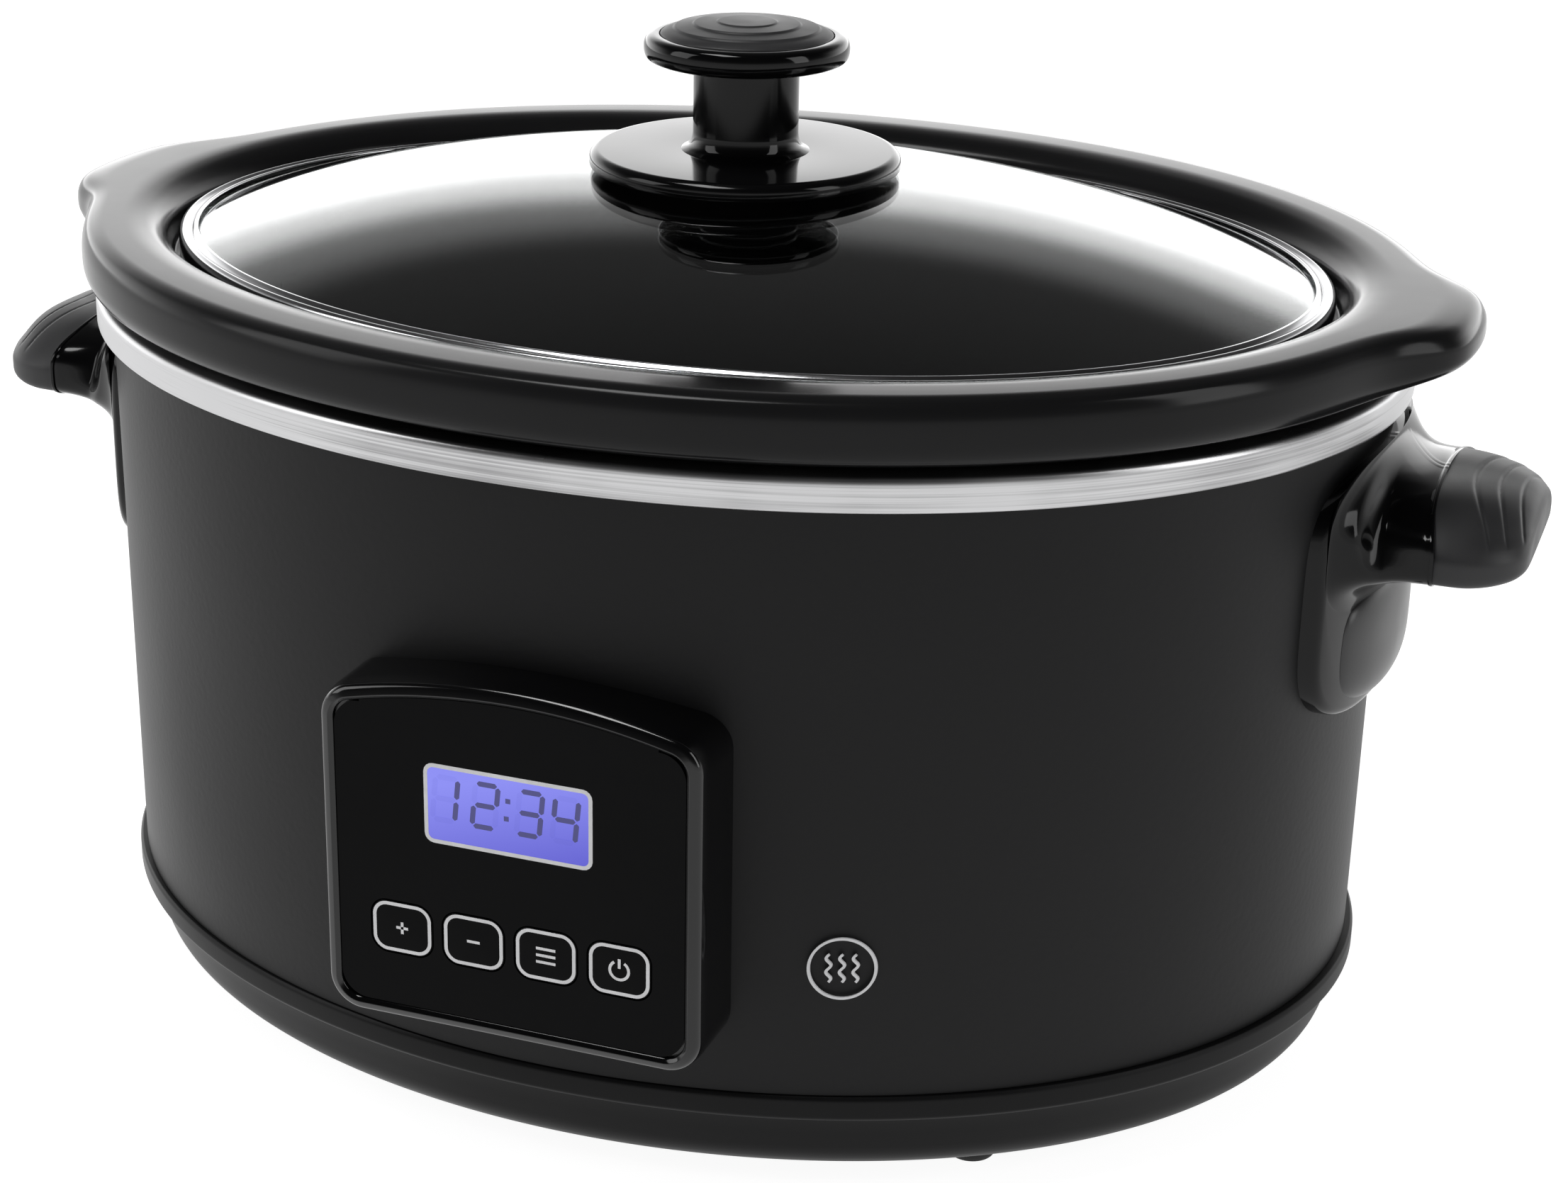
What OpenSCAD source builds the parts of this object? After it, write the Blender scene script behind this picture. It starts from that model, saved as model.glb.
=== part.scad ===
// Oval countertop slow cooker: sheet shell with a heated well, a lift-out stoneware crock,
// a glass lid with a knob, two side handles and a front control panel.
// Origin at the floor under the centre, +Z up, the panel faces -Y.

/* [Shell] */
// Half-length of the shell at its upper edge
shell_a = 166; // [150:1:200]
// Half-width of the shell at its upper edge
shell_b = 133; // [118:1:160]
// Height of the seam between base tray and shell
seam_z = 29; // [26:0.5:36]
// Height of the shell from the seam to the lower edge of the trim band
shell_h = 145.5; // [120:0.5:180]
// Sheet thickness of the shell
shell_t = 0.8; // [0.6:0.1:1.5]
// How much the shell's lower edge draws in at each end
draft_x = 0.6; // [0:0.1:2]
// How much the shell's lower edge draws in at each side
draft_y = 1.4; // [0:0.1:2.5]

/* [Trim band] */
// Visible height of the trim band
band_h = 8; // [6:0.5:14]
// How far the band stands out from the shell
band_out = 4; // [3:0.1:6]
// Thickness of the band's top flange
band_flange_t = 1.7; // [1.2:0.1:3]
// Width of the band's top flange, inward from the shell
band_flange_w = 8; // [5:0.5:9]

/* [Base tray] */
// How far the base lip stands out from the shell's lower edge at the ends
lip_out_x = 2.2; // [1.2:0.1:4]
// How far the base lip stands out from the shell's lower edge at the sides
lip_out_y = 0.8; // [0.6:0.1:4]
// Height of the lip's outer face
lip_h = 6.4; // [5:0.2:9]
// Wall thickness of the base tray
tray_t = 2.5; // [2:0.1:4]
// How far the dish draws in from the lip to its flat bottom
dish_in = 13.4; // [9:0.2:18]
// Radius of a rubber foot
foot_r = 6; // [4:0.5:9]
// Height of a foot below the tray
foot_h = 4.5; // [3:0.5:8]
// Distance of the feet from the centre, lengthways
foot_x = 94; // [80:1:105]
// Distance of the feet from the centre, widthways
foot_y = 84; // [60:1:88]

/* [Heating well] */
// Sheet thickness of the well
well_t = 1.2; // [0.8:0.1:2]
// Gap between the well and the crock's wall
well_gap = 2.5; // [1.5:0.1:5]
// Gap under the crock's base
well_floor_gap = 3; // [2:0.5:8]
// Thickness of the heating element band
heater_t = 2.5; // [1.5:0.1:3.5]
// Height of the heating element band
heater_h = 46; // [30:1:60]
// Thickness of the insulation blanket
wool_t = 5; // [3:0.5:6]
// Radius of the clamping stud under the well
stud_r = 2.5; // [2:0.1:4]

/* [Crock] */
// Half-length of the crock's inside at the ledge
cook_a = 141; // [125:1:165]
// Half-width of the crock's inside at the ledge
cook_b = 102.5; // [90:0.5:120]
// Wall thickness of the crock
crock_wall = 6.5; // [5:0.5:9]
// Thickness of the crock's floor
crock_floor = 8; // [6:0.5:12]
// Height of the crock's base above the floor
crock_z = 50; // [46:1:70]
// How much the crock narrows towards its base
crock_taper = 6; // [3:0.5:10]
// How far the crock's rim stands out from the shell
rim_out = 6.6; // [4.5:0.1:9]
// Height of the crock's rim above the band
rim_h = 17.9; // [15:0.1:24]
// How far each ear reaches out past the rim
ear_out = 13; // [8:0.1:16]
// Half-width of an ear
ear_w = 28; // [20:1:36]

/* [Lid] */
// Width of the ledge that carries the lid
ledge_w = 10.4; // [8:0.1:13]
// Gap between the lid's rim and the crock's recess
lid_gap = 1.8; // [1:0.1:2.5]
// Depth of the lid recess below the crock's rim
ledge_drop = 11.4; // [9:0.1:13]
// Thickness of the glass
glass_t = 4; // [3:0.5:6]
// Rise of the glass dome
dome_h = 22; // [14:0.5:30]
// Radial width of the steel rim of the lid
hoop_w = 5; // [4:0.2:7]

/* [Knob] */
// Radius of the knob's flange
flange_r = 39.2; // [30:0.2:46]
// Thickness of the knob's flange
flange_t = 4.2; // [3:0.1:6]
// Radius of the knob's stem
stem_r = 13.2; // [9:0.2:17]
// Height of the knob's stem
stem_h = 22.2; // [16:0.2:30]
// Radius of the knob's cap
cap_r = 25.6; // [20:0.2:32]
// Height of the cap's side
cap_h = 6.6; // [5:0.2:10]
// Radius of the knob screw
knob_screw_r = 2.5; // [2:0.1:3]

/* [Handles] */
// Reach of a handle's tip from the centre line of the shell's end
handle_reach = 38; // [30:1:50]
// Half-width of the handle's plate
plate_w = 45; // [34:1:50]
// Lower edge of the handle's plate below the shell's upper edge
plate_drop = 72; // [55:1:90]
// Height of the collar between bracket and grip, from the plate's face
collar_reach = 17; // [14:0.5:22]
// Radius of the handle screws
handle_screw_r = 1.75; // [1.5:0.05:2.5]

/* [Control panel] */
// Half-width of the bezel
panel_w = 47; // [42:0.5:60]
// Height of the bezel's lower edge
panel_z = 42; // [38:0.5:60]
// Height of the bezel along its centre line
panel_h = 88; // [80:0.5:100]
// How far the bezel's face stands out from the shell
panel_out = 13; // [12:0.5:18]
// Width of the bezel's rim around the overlay
rim_w = 4.1; // [3:0.1:6]
// Width of the display window
lcd_w = 40.6; // [30:0.2:48]
// Height of the display window
lcd_h = 19; // [14:0.2:24]
// Height of the display window's centre above the bezel's lower edge
lcd_z = 57.4; // [54:0.2:62]
// Width of a key
key_w = 15.4; // [10:0.2:16]
// Height of a key
key_h = 13.2; // [9:0.2:15]
// Distance between neighbouring keys
key_pitch = 18.06; // [17.9:0.01:20]
// Height of the keys' centres above the bezel's lower edge
key_z = 24; // [20:0.5:28]
// Gap around a key
key_gap = 0.3; // [0.2:0.05:0.5]
// Travel of a key
key_travel = 0.5; // [0.3:0.05:0.8]

/* [Cord inlet] */
// Radius of the cord bore
cord_r = 3.6; // [3:0.1:5]
// Height of the cord inlet above the floor
gland_z = 46; // [42:1:60]

/* [Hidden] */
$fn = 48;
seg = 64;
eps = 0.01;
fit = 0.1;
screw_gap = 0.1;

low_a = shell_a - draft_x;
low_b = shell_b - draft_y;
band_z = seam_z + shell_h;
band_top = band_z + band_h;
shell_top = band_top - band_flange_t - well_t - 2 * fit;
lip_z = seam_z - lip_h;
tray_floor = foot_h + tray_t;

rim_top = band_top + rim_h;
ledge_z = rim_top - ledge_drop;
well_top = shell_top + fit + well_t;
well_floor = crock_z - well_floor_gap;
well_bottom = well_floor - well_t;
well_out = crock_wall + well_gap + well_t;
crock_low = crock_wall - crock_taper;
heater_rise = 10;
heater_z = crock_z + heater_rise;
lid_out = ledge_w - lid_gap;
hoop_z = ledge_z + fit;
hoop_h = 5;
hoop_t = 0.9;
dome_top = hoop_z + hoop_t + dome_h + glass_t;
flange_z = dome_top + 0.2;
stem_z = flange_z + flange_t;
cap_z = stem_z + stem_h;
face_y = -(shell_b + panel_out);
pocket_t = 2;
overlay_t = 1;
web_t = 2;
pocket_y = face_y + pocket_t;
cavity_y = pocket_y + web_t;
board_t = 1.6;
board_y = cavity_y + 4;
board_w = 33.5;
board_low = 8;
board_high = 80;
boss_x = 39;
boss_low = 10;
boss_high = 74;
stand_x = 30;
power_x = 66;
power_w = 76;
power_d = 54;
power_z = 15;
terminal_x = power_x + 18;
handle_z = band_z - 21;
handle_screw_y = 24;
collar_x = shell_a + collar_reach;
tip_x = shell_a + handle_reach;
gland_out = 10;
gland_r = 9.5;
gland_neck_r = 7.5;
gland_y = low_b + draft_y * (gland_z - seam_z) / shell_h;
nut_r = 11;
key_count = 4;
key_round = 4;
lcd_round = 2;
lcd_frame = 2;
foot_stem_r = 2.5;
foot_hole = 0.1;
nut_boss_r = 16;
nut_pocket_r = 12;
nut_pocket_h = 4.5;
post_r = 3.2;
post_in = 5;
board_screw_r = 1.25;
vent_w = 3;
vent_l = 24;
vent_pitch = 12;
vent_y = 45;
washer_r = 9;
washer_t = 1;
base_nut_r = 5.2;
base_nut_h = 4;
wire_hole_w = 28;
wire_hole_h = 22;
wool_short = 8;
sensor_x = -48;
sensor_y = 20;
sensor_r = 3;
sensor_l = 16;
fuse_r = 2.2;
fuse_l = 14;
relay_size = [19, 15, 15];
terminal_size = [9, 24, 10];
capacitor_r = 5;
capacitor_h = 12;
lead_r = 1.2;
ribbon_w = 12;
ribbon_t = 1;
bezel_screw_r = 1.5;
boss_r = 3.6;
stand_in = 3.5;
stand_r = 2.6;
stand_screw_r = 1;
switch_w = 6;
switch_h = 2;
plunger_r = 1.7;
key_proud = 0.5;
handle_screw_l = 13;
cap_pocket = 1.2;
lid_washer_t = 1.5;
corners = [[-1, -1], [1, -1], [-1, 1], [1, 1]];

black = [0.08, 0.08, 0.085];
gloss = [0.04, 0.04, 0.045];
steel = [0.78, 0.79, 0.8];

// One oval ring of points: half-length, half-width, height, ear reach and ear lift
function ear(y) = 1 / (1 + pow(abs(y) / ear_w, 6));
function ring(s) =
    [for (i = [0 : seg - 1])
        let (t = 360 * i / seg, y = s[1] * sin(t), e = ear(y))
        [(s[0] + (len(s) > 3 ? s[3] : 0) * e * abs(cos(t))) * cos(t), y,
         s[2] + (len(s) > 4 ? s[4] : 0) * e * abs(cos(t))]];
function side_faces(m, closed) =
    [for (j = [0 : m - (closed ? 1 : 2)], i = [0 : seg - 1], k = [0, 1])
        let (a = j * seg + i, b = j * seg + (i + 1) % seg, n = (j + 1) % m,
             c = n * seg + i, d = n * seg + (i + 1) % seg)
        k == 0 ? [a, c, d] : [a, d, b]];

// A closed hoop: the rings run up the outside and back down the inside
module hoop(rings) {
    polyhedron(points = [for (s = rings) each ring(s)], faces = side_faces(len(rings), true));
}

// A cup or a plug: the first and the last ring are closed with flat caps
module cup(rings) {
    m = len(rings);
    polyhedron(points = [for (s = rings) each ring(s)],
               faces = concat(side_faces(m, false), [[for (i = [0 : seg - 1]) i]],
                              [[for (i = [seg - 1 : -1 : 0]) (m - 1) * seg + i]]));
}

function sh(d, z) = [shell_a + d, shell_b + d, z];
function lo(d, z) = [low_a + d, low_b + d, z];
function tray(dx, dy, z) = [low_a + lip_out_x - dx, low_b + lip_out_y - dy, z];
function ck(d, z) = [cook_a + d, cook_b + d, z];
function mouth(dx, dy, z) = [cook_a + ledge_w + dx, cook_b + ledge_w + dy, z];

module along_y(x, y, z) { translate([x, y, z]) rotate([-90, 0, 0]) children(); }
module along_x(x, y, z) { translate([x, y, z]) rotate([0, 90, 0]) children(); }

// Centre of the board post in corner c
function post_at(c) = [power_x + c.x * (power_w / 2 - post_in), c.y * (power_d / 2 - post_in)];

// Solid oval core that trims what leans on the shell
module shell_core(grow = 0) {
    cup([lo(grow, seam_z), sh(grow, band_z), sh(grow, band_z + 40)]);
}

module base_tray() {
    color(black) difference() {
        union() {
            cup([tray(dish_in, dish_in, foot_h), tray(8, 8, foot_h + 2), tray(5, 5, foot_h + 6),
                 tray(3.4, 3.4, lip_z - 2), tray(2.6, 2.6, lip_z), tray(0, 0, lip_z + 0.4),
                 tray(0, 0, seam_z - 0.6), tray(0.4, 0.4, seam_z - fit),
                 lo(-shell_t - fit, seam_z - fit), lo(-shell_t - fit, seam_z + 4),
                 lo(-shell_t - fit - tray_t, seam_z + 4),
                 lo(-shell_t - fit - tray_t, lip_z + 2), tray(5 + tray_t, 5 + tray_t, foot_h + 7),
                 tray(9 + tray_t, 9 + tray_t, tray_floor)]);
            translate([0, 0, tray_floor - eps]) cylinder(r = nut_boss_r, h = nut_pocket_h);
            for (c = corners)
                translate([post_at(c).x, post_at(c).y, tray_floor - eps])
                    cylinder(r = post_r, h = power_z - tray_floor + eps);
        }
        translate([0, 0, foot_h - 1]) cylinder(r = nut_pocket_r, h = nut_pocket_h + 1);
        cylinder(r = stud_r + 0.4, h = 30);
        for (c = corners) {
            translate([c.x * foot_x, c.y * foot_y, 0]) cylinder(r = foot_stem_r + foot_hole, h = 12);
            translate([post_at(c).x, post_at(c).y, tray_floor + 1])
                cylinder(r = board_screw_r + screw_gap, h = 12);
        }
        for (i = [-3 : 3], s = [-1, 1])
            translate([i * vent_pitch - vent_w / 2, s * vent_y - vent_l / 2, 0]) cube([vent_w, vent_l, 14]);
    }
}

module foot(c) {
    color(gloss) translate([c.x * foot_x, c.y * foot_y, 0]) {
        cylinder(r1 = foot_r - 0.6, r2 = foot_r, h = 1);
        translate([0, 0, 1]) cylinder(r = foot_r, h = foot_h - 1);
        cylinder(r = foot_stem_r, h = tray_floor + 0.1);
        translate([0, 0, tray_floor + 0.1]) cylinder(r1 = foot_stem_r + 0.9, r2 = foot_stem_r - 0.9, h = 3);
    }
}

module base_washer() {
    color(steel) translate([0, 0, foot_h + nut_pocket_h - washer_t - fit]) difference() {
        cylinder(r = washer_r, h = washer_t);
        translate([0, 0, -1]) cylinder(r = stud_r + 0.3, h = 3);
    }
}

module base_nut() {
    color(steel) translate([0, 0, foot_h + nut_pocket_h - washer_t - fit - base_nut_h]) difference() {
        cylinder(r = base_nut_r, h = base_nut_h, $fn = 6);
        translate([0, 0, -1]) cylinder(r = stud_r + 0.05, h = 6);
    }
}

module shell() {
    color(black) difference() {
        hoop([lo(0, seam_z), sh(0, band_z), sh(0, shell_top), sh(-shell_t, shell_top),
              sh(-shell_t, band_z), lo(-shell_t, seam_z)]);
        translate([-wire_hole_w / 2, -shell_b - 5, panel_z + 6]) cube([wire_hole_w, 14, wire_hole_h]);
        along_y(0, shell_b - 15, gland_z) cylinder(r = gland_neck_r + 0.3, h = 25);
        for (x = [-boss_x, boss_x], z = [boss_low, boss_high])
            along_y(x, -shell_b - 4, panel_z + z) cylinder(r = bezel_screw_r + 2 * screw_gap, h = 20);
        for (s = [-1, 1], y = [-handle_screw_y, handle_screw_y])
            along_x(s * shell_a - 10, y, handle_z) cylinder(r = handle_screw_r + 0.3, h = 20);
    }
}

module trim_band() {
    color(steel) hoop([
        sh(fit, band_z), sh(band_out, band_z), sh(band_out, band_top - 1.6),
        sh(band_out - 0.6, band_top - 0.5), sh(band_out - 1.8, band_top),
        sh(-band_flange_w, band_top), sh(-band_flange_w, band_top - band_flange_t),
        sh(fit, band_top - band_flange_t)]);
}

module heating_well() {
    color([0.7, 0.7, 0.72])
        cup([ck(crock_low + well_gap - 12, well_bottom), ck(crock_low + well_gap, well_bottom + 6),
             ck(crock_low + well_gap + well_t, well_bottom + 14),
             ck(well_out, well_top - well_t - 2), ck(well_out, well_top - well_t),
             sh(-fit, well_top - well_t), sh(-fit, well_top),
             ck(well_out - well_t, well_top), ck(well_out - well_t, well_top - 3),
             ck(crock_low + well_gap, well_bottom + 15.5),
             ck(crock_low + well_gap - 2, well_bottom + 7.5),
             ck(crock_low + well_gap - 12.5, well_floor)]);
}

module well_stud() {
    color(steel) translate([0, 0, foot_h - 1]) cylinder(r = stud_r, h = well_bottom - foot_h + 1);
}

// The well's outer wall leans with the crock, so what wraps it follows the same line
function lean(z) = crock_taper * (1 - (z - well_bottom - 14) / (well_top - 3 - well_bottom - 14));
function wrap(d, z) = ck(well_out - lean(z) + d, z);

module heater_band() {
    color([0.55, 0.56, 0.58])
        hoop([wrap(fit, heater_z), wrap(fit + heater_t, heater_z),
              wrap(fit + heater_t, heater_z + heater_h), wrap(fit, heater_z + heater_h)]);
}

module insulation() {
    color([0.9, 0.88, 0.8])
        hoop([wrap(heater_t + 2 * fit, heater_z), wrap(heater_t + 2 * fit + wool_t, heater_z),
              wrap(heater_t + 2 * fit + wool_t, heater_z + heater_h - wool_short),
              wrap(heater_t + 2 * fit, heater_z + heater_h - wool_short)]);
}

// A small saddle under the well with a round seat along X
module clip(x, y, r) {
    difference() {
        translate([x - 4, y - r - 2, well_bottom - 2 * r - 1.5])
            cube([8, 2 * r + 4, 2 * r + 1.5]);
        along_x(x - 10, y, well_bottom - r) cylinder(r = r + 0.05, h = 20);
    }
}

module sensor_clip() { color(steel) clip(sensor_x, sensor_y, sensor_r); }
module temp_sensor() {
    color([0.85, 0.8, 0.6]) along_x(sensor_x - sensor_l / 2, sensor_y, well_bottom - sensor_r)
        cylinder(r = sensor_r, h = sensor_l);
}
module fuse_clip() { color(steel) clip(sensor_x, -sensor_y, fuse_r); }
module thermal_fuse() {
    color([0.9, 0.9, 0.92]) along_x(sensor_x - fuse_l / 2, -sensor_y, well_bottom - fuse_r)
        cylinder(r = fuse_r, h = fuse_l);
}

module power_board() {
    color([0.1, 0.35, 0.18]) difference() {
        translate([power_x - power_w / 2, -power_d / 2, power_z]) cube([power_w, power_d, board_t]);
        for (c = corners)
            translate([post_at(c).x, post_at(c).y, 0]) cylinder(r = board_screw_r + 0.25, h = 40);
    }
}

module relay() {
    color([0.1, 0.2, 0.5]) translate([power_x - 18, -10, power_z + board_t]) cube(relay_size);
}
module capacitor() {
    color([0.2, 0.2, 0.6]) translate([power_x - 25, 15, power_z + board_t])
        cylinder(r = capacitor_r, h = capacitor_h);
}
module terminal_block() {
    color([0.8, 0.8, 0.75]) translate([terminal_x, -terminal_size.y / 2, power_z + board_t])
        cube(terminal_size);
}

module pan_screw(r, l, head_r, head_h) {
    cylinder(r = r, h = l);
    translate([0, 0, -head_h]) cylinder(r = head_r, h = head_h);
}

module board_screws() {
    color(steel) for (c = corners)
        translate([post_at(c).x, post_at(c).y, power_z + board_t])
            mirror([0, 0, 1]) pan_screw(board_screw_r, 7, 2.4, 1.6);
}

// Two insulated leads from the terminal block to the ends of the heating element
module lead(s) {
    x0 = terminal_x + terminal_size.x;
    y0 = s * 8;
    x1 = shell_a - 7;
    bend = 12;
    z0 = power_z + board_t + terminal_size.z / 2;
    z1 = heater_z + heater_h - 4;
    x2 = wrap(heater_t + 2 * fit, z1)[0];
    along_x(x0, y0, z0) cylinder(r = lead_r, h = x1 - bend - x0);
    translate([x1 - bend, y0, z0]) sphere(r = lead_r);
    translate([x1 - bend, y0, z0]) rotate([0, 45, 0]) cylinder(r = lead_r, h = bend * sqrt(2));
    translate([x1, y0, z0 + bend]) sphere(r = lead_r);
    translate([x1, y0, z0 + bend]) cylinder(r = lead_r, h = z1 - z0 - bend);
    translate([x1, y0, z1]) sphere(r = lead_r);
    along_x(x2, y0, z1) cylinder(r = lead_r, h = x1 - x2);
}
module heater_leads() { color([0.8, 0.3, 0.2]) for (s = [-1, 1]) lead(s); }

module control_ribbon() {
    y1 = -(shell_b - 13);
    x1 = power_x - power_w / 2 + 2;
    z0 = power_z + board_t;
    rise = 35;
    color([0.6, 0.6, 0.6]) {
        translate([x1, y1 - 0.5, z0]) cube([ribbon_w, -power_d / 2 - y1 + 3, ribbon_t]);
        translate([x1, y1 - 0.5, z0]) cube([ribbon_w, ribbon_t, rise + 1]);
        translate([-ribbon_w / 2, y1 - 0.5, z0 + rise])
            cube([x1 + 1.5 * ribbon_w, ribbon_t, ribbon_w]);
        translate([-ribbon_w / 2, board_y + board_t, z0 + rise + 3])
            cube([ribbon_w, y1 - board_y - board_t + 0.5, ribbon_t]);
    }
}

module cord_gland() {
    y1 = gland_y;
    color(black) difference() {
        union() {
            along_y(0, y1 + fit, gland_z) cylinder(r = gland_r, h = gland_out - 3.1);
            along_y(0, y1 + gland_out - 3, gland_z) cylinder(r1 = gland_r, r2 = gland_r - 3, h = 3);
            along_y(0, y1 - 11, gland_z) cylinder(r = gland_neck_r, h = 12);
        }
        along_y(0, y1 - 12, gland_z) cylinder(r = cord_r, h = gland_out + 14);
    }
}

module gland_nut() {
    color(black) along_y(0, gland_y - shell_t - 5.4, gland_z) difference() {
        cylinder(r = nut_r, h = 5, $fn = 6);
        translate([0, 0, -1]) cylinder(r = gland_neck_r + 0.05, h = 7);
    }
}

// Outline of the panel, drawn in by d: straight sides, round corners, arched top
module panel_outline(d) {
    r = 9 - d * 0.6;
    w = panel_w - d;
    h = panel_h - 2 * d;
    arch_r = 168;
    corner_drop = 4.5;
    intersection() {
        union() {
            translate([-w, d + r]) square([2 * w, h - 2 * r - corner_drop]);
            translate([-w + r, d]) square([2 * (w - r), h]);
            for (x = [-w + r, w - r]) translate([x, d + r]) circle(r);
            for (x = [-w + r, w - r]) translate([x, d + h - r - corner_drop]) circle(r);
        }
        translate([0, d + h - arch_r]) circle(arch_r, $fn = 180);
    }
}

// Extrudes a panel outline from depth y0 to depth y1
module slab(y0, y1) {
    translate([0, y1, panel_z]) rotate([90, 0, 0]) linear_extrude(y1 - y0) children();
}

module round_rect(w, h, r) {
    square([w - 2 * r, h], center = true);
    square([w, h - 2 * r], center = true);
    for (c = corners) translate([c.x * (w / 2 - r), c.y * (h / 2 - r)]) circle(r);
}

function key_x(i) = (i - (key_count - 1) / 2) * key_pitch;

// Outlines of the display and of key i, grown by d
module lcd_outline(d) {
    translate([0, lcd_z]) round_rect(lcd_w + 2 * d, lcd_h + 2 * d, lcd_round + d);
}
module key_outline(i, d) {
    translate([key_x(i), key_z]) round_rect(key_w + 2 * d, key_h + 2 * d, key_round + d);
}

module control_bezel() {
    color(gloss) difference() {
        union() {
            difference() {
                slab(face_y, -shell_b + 12) panel_outline(0);
                slab(face_y - 1, pocket_y) panel_outline(rim_w - fit);
                slab(cavity_y, -shell_b + 20) panel_outline(3);
            }
            for (x = [-boss_x, boss_x], z = [boss_low, boss_high])
                along_y(x, cavity_y - eps, panel_z + z) cylinder(r = boss_r, h = 16);
            for (x = [-stand_x, stand_x], z = [board_low + stand_in, board_high - stand_in])
                along_y(x, cavity_y - eps, panel_z + z)
                    cylinder(r = stand_r, h = board_y - cavity_y + eps);
        }
        shell_core();
        for (x = [-boss_x, boss_x], z = [boss_low, boss_high])
            along_y(x, cavity_y, panel_z + z) cylinder(r = bezel_screw_r + screw_gap, h = 30);
        for (x = [-stand_x, stand_x], z = [board_low + stand_in, board_high - stand_in])
            along_y(x, cavity_y, panel_z + z) cylinder(r = stand_screw_r + screw_gap, h = 12);
        slab(face_y, cavity_y + 1) lcd_outline(0.3);
        for (i = [0 : key_count - 1]) slab(face_y, cavity_y + 1) key_outline(i, key_gap);
    }
}

module panel_overlay() {
    color(gloss) difference() {
        slab(pocket_y - overlay_t, pocket_y) panel_outline(rim_w);
        slab(pocket_y - 5, pocket_y + 1) lcd_outline(0.05);
        for (i = [0 : key_count - 1]) slab(pocket_y - 5, pocket_y + 1) key_outline(i, key_gap);
    }
}

module lcd_window() {
    color([0.5, 0.5, 0.95, 0.8])
        slab(pocket_y - overlay_t, cavity_y) lcd_outline(0);
}

module lcd_module() {
    w = lcd_w + 2 * lcd_frame;
    h = lcd_h + 3 * lcd_frame;
    color([0.45, 0.45, 0.95]) translate([-w / 2, cavity_y + fit, panel_z + lcd_z - h / 2])
        cube([w, board_y - cavity_y - 2 * fit, h]);
}

module control_board() {
    color([0.1, 0.35, 0.18]) difference() {
        translate([-board_w, board_y, panel_z + board_low])
            cube([2 * board_w, board_t, board_high - board_low]);
        for (x = [-stand_x, stand_x], z = [board_low + stand_in, board_high - stand_in])
            along_y(x, board_y - 5, panel_z + z) cylinder(r = stand_screw_r + 2 * screw_gap, h = 10);
    }
}

module control_screws() {
    color(steel) for (x = [-stand_x, stand_x], z = [board_low + stand_in, board_high - stand_in])
        translate([x, board_y + board_t, panel_z + z]) rotate([90, 0, 0])
            pan_screw(stand_screw_r, 5, 1.8, 1.2);
}

// Depth of the shell's inner face at a distance x from the centre plane
function inner_y(x) = -(shell_b - shell_t) * sqrt(1 - pow(x / (shell_a - shell_t), 2));

module bezel_screws() {
    head_y = inner_y(boss_x + 3) + draft_y + fit;
    color(steel) for (x = [-boss_x, boss_x], z = [boss_low, boss_high])
        translate([x, head_y, panel_z + z]) rotate([90, 0, 0])
            pan_screw(bezel_screw_r, head_y - cavity_y - 2, 2.8, 1.8);
}

// One push switch behind each key; its plunger ends just past the key's travel
module key_switches() {
    tip_y = cavity_y + key_proud + key_travel + fit;
    color([0.25, 0.25, 0.27]) for (i = [0 : key_count - 1]) {
        translate([key_x(i) - switch_w / 2, board_y - switch_h, panel_z + key_z - switch_w / 2])
            cube([switch_w, switch_h, switch_w]);
        along_y(key_x(i), tip_y, panel_z + key_z)
            cylinder(r = plunger_r, h = board_y - switch_h - tip_y + eps);
    }
}

module key(i) {
    color(gloss) slab(pocket_y - overlay_t, cavity_y + key_proud) key_outline(i, 0);
}

// One section across a handle: half-width, underside, side top and ridge height at distance x
function arch_section(s) =
    [for (i = [0 : 23])
        let (t = 360 * i / 24, c = cos(t), n = sin(t),
             y = s[1] * sign(c) * pow(abs(c), 0.45),
             z = n < 0 ? s[2] + (s[3] - s[2]) * (1 - pow(-n, 0.45)) * 0.5
                       : (s[2] + s[3]) / 2 + (s[3] - s[2]) / 2 * pow(n, 0.45)
                         + (s[4] - s[3]) * (1 - pow(y / s[1], 2)) * min(1, n * 2))
        [s[0], y, z]];
module loft(sections) {
    m = len(sections);
    polyhedron(
        points = [for (s = sections) each arch_section(s)],
        faces = concat(
            [for (j = [0 : m - 2], i = [0 : 23], k = [0, 1])
                let (a = j * 24 + i, b = j * 24 + (i + 1) % 24, c = a + 24, d = b + 24)
                k == 0 ? [a, c, d] : [a, d, b]],
            [[for (i = [0 : 23]) i]],
            [[for (i = [23 : -1 : 0]) (m - 1) * 24 + i]]));
}

module plate() {
    top = band_z - 4;
    low = band_z - plate_drop;
    intersection() {
        hoop([sh(-4, low), sh(3, low), sh(4, low + 2), sh(4, top - 2), sh(3, top), sh(-4, top)]);
        translate([shell_a / 2, 0, 0]) rotate([90, 0, 90]) linear_extrude(shell_a)
            translate([0, (top + low) / 2]) round_rect(2 * plate_w, top - low, 16);
    }
}

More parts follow.
